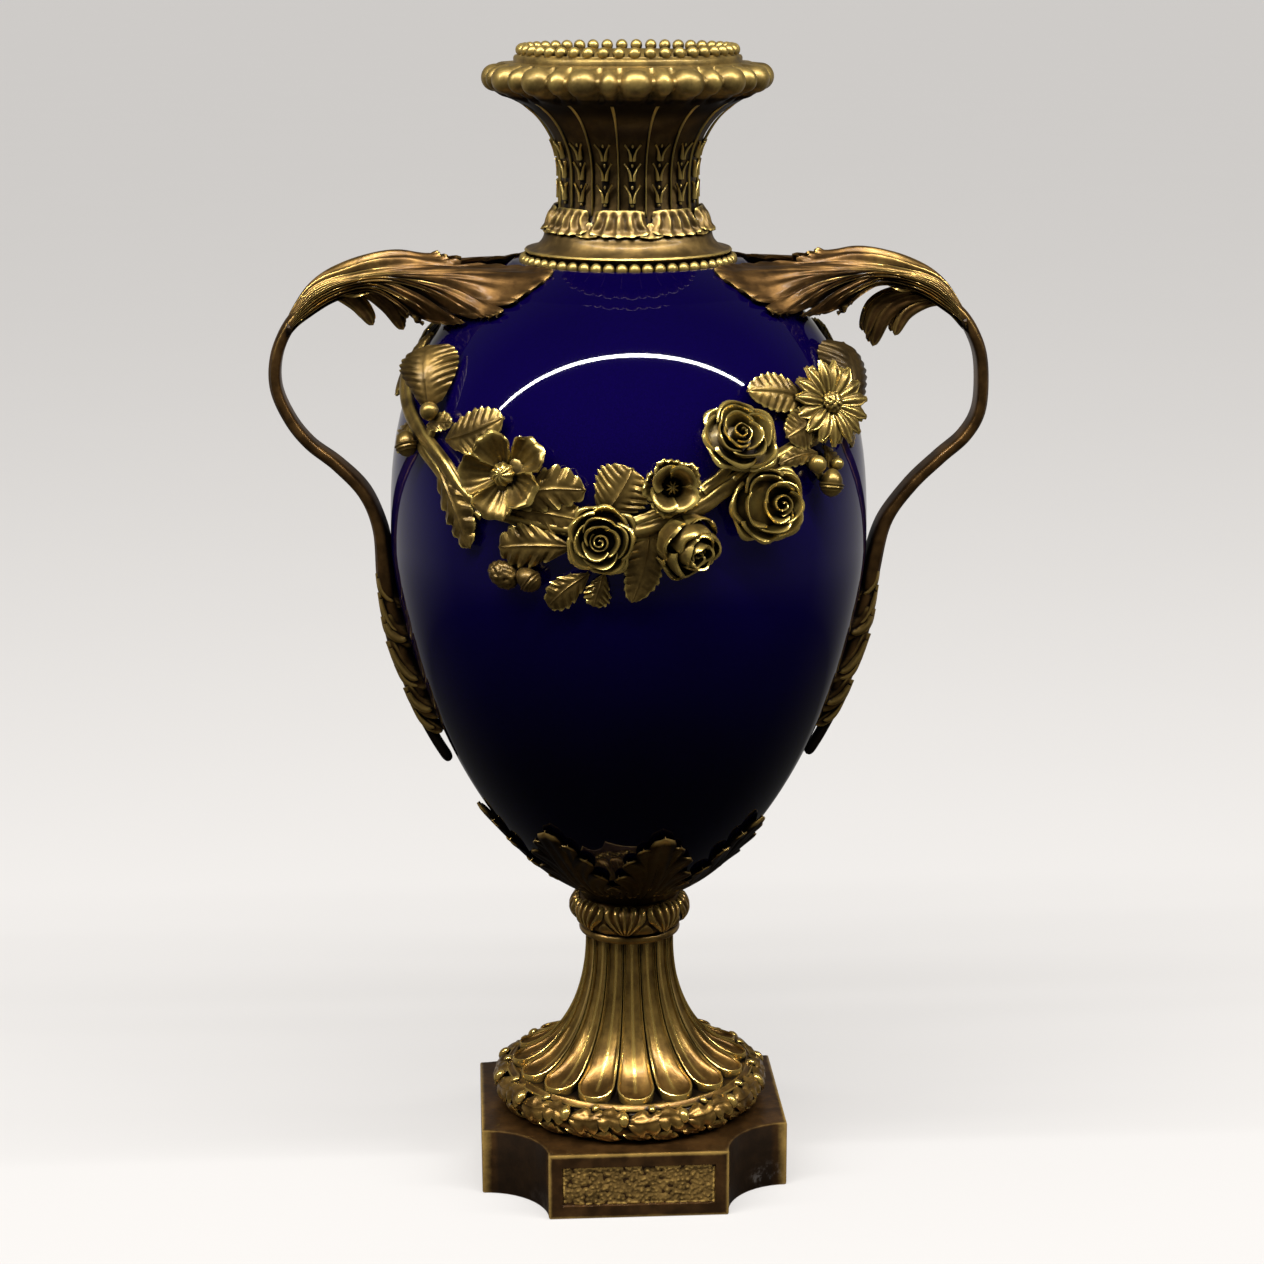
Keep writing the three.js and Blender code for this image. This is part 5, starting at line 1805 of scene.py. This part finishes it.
def patinated_bronze(
    name, rub, warmth=(1.0, 1.0, 1.0), open_tone=1.0, matt=0.0, metallic=0.92, wax=1.0, dust=False
):
    """Gilt bronze: gold on the crests, brown on the open faces, dark wax and painted shade in the
    hollows and where other metal or glaze lies close. rub moves it all towards gold, warmth tints it,
    open_tone darkens the open faces, matt dulls it, metallic is how far it shines as bare metal, wax
    sets how dark the wax and painted shade are and dust lies on its foot."""
    colours = settings().finish
    recipe = Recipe(bpy.data.materials.new(name))
    crest = recipe.spread(recipe.mark("crest"), 0.04, 0.62)
    clouds = recipe.noise(95.0, 4.0, 0.6)
    fine = recipe.noise(620.0, 2.0)
    worn = recipe.maths("MULTIPLY_ADD", clouds, 0.55, rub - 0.28)
    gold_share = recipe.maths("ADD", recipe.maths("MULTIPLY_ADD", crest, 0.95, recipe.mark("gilt_and_shade")), worn)
    gold_share = recipe.spread(recipe.maths("MULTIPLY_ADD", fine, 0.18, gold_share), 0.05, 1.0)
    tinted = [c * w for c, w in zip(colours.bronze, warmth)]
    deep, pale = paint(tinted, 0.62 * open_tone), paint(tinted, 1.35 * open_tone)
    open_face = recipe.mixed(recipe.spread(clouds, 0.35, 0.68), deep, pale)
    rubbed = paint([c * (0.5 + 0.5 * w) for c, w in zip(colours.gold, warmth)])
    tone = recipe.mixed(gold_share, open_face, rubbed)
    valley = recipe.spread(recipe.mark("crest"), -0.55, -0.04, 0.34, 0.0)
    # Dark wax in the hollows and valleys, and painted shade where metal or glaze close by shuts off the
    # light.
    hollows_and_shade = recipe.maths("MULTIPLY", recipe.maths("ADD", recipe.mark("hollow"), valley), wax)
    dark = recipe.spread(recipe.maths("MULTIPLY_ADD", recipe.noise(240.0, 3.0), 0.16, hollows_and_shade), 0.24, 0.62)
    # A strongly negative gilt share paints a part umber, as painted shade in the plinth's corners, on the
    # neck's panels and on the standing leaves.
    dark = recipe.maths("MAXIMUM", dark, recipe.spread(recipe.mark("gilt_and_shade"), -0.95, -0.25, 1.0, 0.0))
    tone = recipe.mixed(dark, tone, paint(colours.wax_and_shade_umber))
    roughness = recipe.maths("MULTIPLY_ADD", recipe.maths("SUBTRACT", dark, gold_share), 0.13, 0.31 + matt)
    roughness = recipe.maths("MULTIPLY_ADD", clouds, 0.12, roughness)
    if dust:
        tone, roughness = dusted(recipe, tone, roughness)
    recipe.fill(recipe.shader, {
        "Base Color": tone, "Roughness": roughness, "Metallic": metallic, "Coat Weight": 0.12,
        "Coat Roughness": 0.16,
    })
    grain = recipe.maths("MULTIPLY_ADD", recipe.noise(1500.0, 2.0), 0.35, recipe.noise(260.0, 4.0))
    recipe.bumped(grain, 0.00022, 0.55)
    return recipe.owner


def metal(name):
    """The bronze of one casting."""
    return patinated_bronze(name, **METALS[name])


# Where pale dust lies at the foot of the plinth's hollowed corners.
DUST_SPOTS = [(-0.062, -0.074, 0.002), (0.074, -0.058, 0.003)]
DUST = (0.42, 0.4, 0.38, 1.0)


def dusted(recipe, colour_below, roughness):
    """Pale dust in patches at the foot of the plinth's corners."""
    smudge = None
    for spot in DUST_SPOTS:
        away = recipe.node("ShaderNodeVectorMath", {0: recipe.place, 1: spot}, operation="DISTANCE")
        near = recipe.spread(away.outputs["Value"], 0.003, 0.017, 1.0, 0.0)
        smudge = near if smudge is None else recipe.maths("MAXIMUM", smudge, near)
    patches = recipe.spread(recipe.noise(190.0, 5.0, 0.7), 0.5, 0.66)
    share = recipe.maths("MULTIPLY", recipe.maths("MULTIPLY", smudge, patches), 0.55)
    return recipe.mixed(share, colour_below, DUST), recipe.maths("MULTIPLY_ADD", share, 0.4, roughness)


def cobalt_glaze():
    """Deep cobalt glaze, with painted shade that darkens it towards the foot and a little towards the
    shoulder, finely speckled.
    """
    colours = settings().finish
    recipe = Recipe(bpy.data.materials.new("cobalt_glaze"))
    split = recipe.node("ShaderNodeSeparateXYZ", {0: recipe.place})
    height = recipe.maths("MULTIPLY_ADD", recipe.noise(14.0, 2.0), 0.03, split.outputs["Z"])
    # Painted shade: darker towards the foot and a little towards the shoulder.
    lower, upper = recipe.spread(height, 0.245, 0.44), recipe.spread(height, 0.445, 0.51, 1.0, 0.62)
    share = recipe.maths("MULTIPLY", lower, upper)
    depth = recipe.mixed(share, paint(colours.glaze_shade_and_speckle), paint(colours.cobalt))
    speckle = recipe.spread(recipe.noise(900.0, 2.0), 0.3, 0.72, 0.0, 0.22)
    speckled = recipe.mixed(speckle, depth, paint(colours.glaze_shade_and_speckle, 1.6))
    roughness = recipe.maths("MULTIPLY_ADD", recipe.noise(60.0, 3.0), 0.02, 0.02)
    recipe.fill(recipe.shader, {"Base Color": speckled, "Roughness": roughness, "IOR": 1.42})
    ripple = recipe.maths("MULTIPLY_ADD", recipe.noise(520.0, 1.0), 0.035, recipe.noise(30.0, 0.0))
    recipe.bumped(ripple, 0.00006, 0.5)
    return recipe.owner


# Colour of the studio's own light.
STUDIO_LIGHT = (0.93, 0.9, 0.87, 1.0)


def studio_floor():
    """Matt pale floor, faintly mottled and evenly lit from within."""
    recipe = Recipe(bpy.data.materials.new("studio_floor"))
    pale = settings().finish.studio
    mottle = recipe.spread(recipe.noise(3.0, 2.0), 0.3, 0.7, 0.0, 0.25)
    recipe.fill(recipe.shader, {
        "Base Color": recipe.mixed(mottle, paint(pale), paint(pale, 0.94)), "Roughness": 0.9,
        "Specular IOR Level": 0.1, "Emission Color": STUDIO_LIGHT, "Emission Strength": 0.56,
    })
    return recipe.owner


# Edges that turn by less than this are shaded smooth.
SMOOTH_ANGLE = math.radians(42)


def finished(piece, material, slot, *nodes):
    """Smooths a piece, gives it its material and lets it stand for its CAD nodes."""
    pick(piece)
    bpy.ops.object.shade_smooth_by_angle(angle=SMOOTH_ANGLE)
    piece.data.materials.clear()
    piece.data.materials.append(material)
    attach(piece, "root")
    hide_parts(*nodes)
    return piece


# ---- stage


def studio_world():
    """Surroundings that look plain and evenly pale, and that light the vase mostly from behind."""
    world = bpy.data.worlds.new("studio")
    bpy.context.scene.world = world
    recipe = Recipe(world, "ShaderNodeBackground", "ShaderNodeOutputWorld")
    way = recipe.node("ShaderNodeSeparateXYZ", {0: recipe.coordinates["Generated"]}).outputs
    behind = recipe.spread(way["Y"], 0.1, 0.95, 0.1, 0.5, "LINEAR")
    level = recipe.spread(way["Z"], -0.42, -0.22, 0.12, 1.0, "LINEAR")
    above = recipe.spread(way["Z"], -0.15, 0.15, 1.0, 0.3, "LINEAR")
    glow = recipe.maths("MULTIPLY", recipe.maths("MULTIPLY", behind, level), above)
    seen = recipe.node("ShaderNodeLightPath").outputs["Is Camera Ray"]
    strength = recipe.node("ShaderNodeMix", {"Factor": seen, "A": glow, "B": 1.0}).outputs["Result"]
    recipe.fill(recipe.shader, {"Color": STUDIO_LIGHT, "Strength": strength})


def studio_lights():
    """Broad soft daylight from above the front and a long tube over the vase."""
    daylight = added("soft_daylight", bpy.ops.object.light_add, type="SUN", location=(-1, -2, 3))
    daylight.data.energy = 1.5
    daylight.data.angle = math.radians(60)
    daylight.rotation_euler = (math.radians(24), math.radians(-14), 0)
    daylight.visible_glossy = False
    place, aim = np.array((0, -0.8, 1.95)), np.array((0, -0.1, 0.4))
    tube = added("tube", bpy.ops.object.light_add, type="AREA", location=tuple(place))
    tube.data.shape = "RECTANGLE"
    tube.data.size, tube.data.size_y = 6.4, 0.052
    tube.data.energy = 175
    way = aim - place
    pitch = math.atan2(math.hypot(way[0], way[1]), -way[2])
    tube.rotation_euler = (pitch, 0, math.atan2(-way[0], way[1]))


def studio_camera():
    """Camera a little above the vase and almost square to its front."""
    camera = added("Camera", bpy.ops.object.camera_add, location=(-0.0873, -1.4573, 0.6653))
    camera.rotation_euler = (math.radians(75.965), math.radians(0.08), math.radians(-3.514))
    camera.data.sensor_width = 36.0
    camera.data.lens = 80.18
    camera.data.clip_start, camera.data.clip_end = 0.01, 100.0
    bpy.context.scene.camera = camera


def make_studio():
    """Pale floor, soft surroundings, the lights and the camera."""
    floor = added("floor", bpy.ops.mesh.primitive_circle_add, vertices=96, radius=40.0, fill_type="NGON")
    floor.data.materials.append(studio_floor())
    floor.visible_glossy = False
    studio_world()
    studio_lights()
    bpy.context.scene.view_settings.view_transform = "Standard"
    studio_camera()


# ---- operators and panel


def body_shells():
    """The glazed body, which shades the mounts that lie on it."""
    return (bpy.data.objects["body_shell"],)


class URN_OT_plinth(bpy.types.Operator):
    """Models the square plinth with its stippled panels"""

    bl_idname = "urn_vase.plinth"
    bl_label = "Plinth"

    def execute(self, context):
        piece = marked_for_wear_and_shade(make_plinth(), reach=0.006)
        finished(piece, metal("plinth_bronze"), "plinth_bronze", "plinth")
        return {"FINISHED"}


class URN_OT_socle(bpy.types.Operator):
    """Models the wreath, the fluted foot, the astragal and the knop"""

    bl_idname = "urn_vase.socle"
    bl_label = "Socle"

    def execute(self, context):
        piece = marked_for_wear_and_shade(make_socle())
        finished(piece, metal("socle_bronze"), "gilt_bronze", "socle")
        return {"FINISHED"}


class URN_OT_body(bpy.types.Operator):
    """Models the glazed ovoid shell"""

    bl_idname = "urn_vase.body"
    bl_label = "Body"

    def execute(self, context):
        finished(make_body(), cobalt_glaze(), "cobalt_glaze", "body")
        return {"FINISHED"}


class URN_OT_calyx(bpy.types.Operator):
    """Models the cup of acanthus leaves under the body"""

    bl_idname = "urn_vase.calyx"
    bl_label = "Calyx"

    def execute(self, context):
        piece = marked_for_wear_and_shade(make_calyx(), body_shells())
        finished(piece, metal("calyx_shaded_bronze"), "dark_bronze", "calyx")
        return {"FINISHED"}


class URN_OT_neck(bpy.types.Operator):
    """Models the shoulder ring, the collar, the panelled neck, the lip and the mouth"""

    bl_idname = "urn_vase.neck"
    bl_label = "Neck"

    def execute(self, context):
        piece = marked_for_wear_and_shade(make_neck())
        finished(piece, metal("neck_bronze"), "gilt_bronze", "neck")
        return {"FINISHED"}


class URN_OT_handles(bpy.types.Operator):
    """Models one handle and its twin on the other side"""

    bl_idname = "urn_vase.handles"
    bl_label = "Handles"

    def execute(self, context):
        bronze = metal("handle_bronze")
        right = make_handle("handle_right_casting", 0.0, STRAP_RIGHT, 1.0, UNDER_RIGHT, 0.0032)
        left = make_handle("handle_left_casting", math.pi, STRAP_LEFT, -7.0, UNDER_LEFT, 0.0)
        finished(marked_for_wear_and_shade(right, body_shells()), bronze, "handle_bronze", "handle_right")
        finished(marked_for_wear_and_shade(left, body_shells()), bronze, "handle_bronze", "handle_left")
        return {"FINISHED"}


class URN_OT_garlands(bpy.types.Operator):
    """Models the garland of flowers and the plainer swag on the other side"""

    bl_idname = "urn_vase.garlands"
    bl_label = "Garlands"

    def execute(self, context):
        bronze = metal("garland_bronze")
        front = marked_for_wear_and_shade(make_garland_front(), body_shells())
        finished(front, bronze, "garland_bronze", "garland_front")
        back = marked_for_wear_and_shade(make_garland_back(), body_shells())
        finished(back, bronze, "garland_bronze", "garland_back")
        return {"FINISHED"}


class URN_OT_studio(bpy.types.Operator):
    """Sets up the floor, the lights and the camera"""

    bl_idname = "urn_vase.studio"
    bl_label = "Studio"

    def execute(self, context):
        make_studio()
        return {"FINISHED"}


OPERATORS = (
    URN_OT_studio, URN_OT_body, URN_OT_plinth, URN_OT_socle, URN_OT_calyx, URN_OT_neck, URN_OT_handles,
    URN_OT_garlands,
)


class URN_PT_sidebar(bpy.types.Panel):
    """Lists the pieces in the order in which they are made"""

    bl_idname = "URN_PT_sidebar"
    bl_label = "Urn Vase"
    bl_space_type = "VIEW_3D"
    bl_region_type = "UI"
    bl_category = "Urn Vase"

    def draw(self, context):
        for operator in OPERATORS:
            self.layout.operator(operator.bl_idname)
        vase = context.scene.urn_vase
        for group in (vase.plinth, vase.socle, vase.body, vase.calyx, vase.neck, vase.handle, vase.finish):
            box = self.layout.box()
            for name in group.__annotations__:
                box.prop(group, name)


CLASSES = (
    PlinthSizes, SocleSizes, BodySizes, CalyxSizes, NeckSizes, HandleSizes, FinishColours, VaseSettings,
    *OPERATORS, URN_PT_sidebar,
)


def register():
    for each in CLASSES:
        bpy.utils.register_class(each)
    bpy.types.Scene.urn_vase = bpy.props.PointerProperty(type=VaseSettings)


def unregister():
    del bpy.types.Scene.urn_vase
    for each in reversed(CLASSES):
        bpy.utils.unregister_class(each)


def main():
    register()
    bpy.ops.urn_vase.studio()
    bpy.ops.urn_vase.body()
    bpy.ops.urn_vase.plinth()
    bpy.ops.urn_vase.socle()
    bpy.ops.urn_vase.calyx()
    bpy.ops.urn_vase.neck()
    bpy.ops.urn_vase.handles()
    bpy.ops.urn_vase.garlands()


if __name__ == "__main__":
    main()
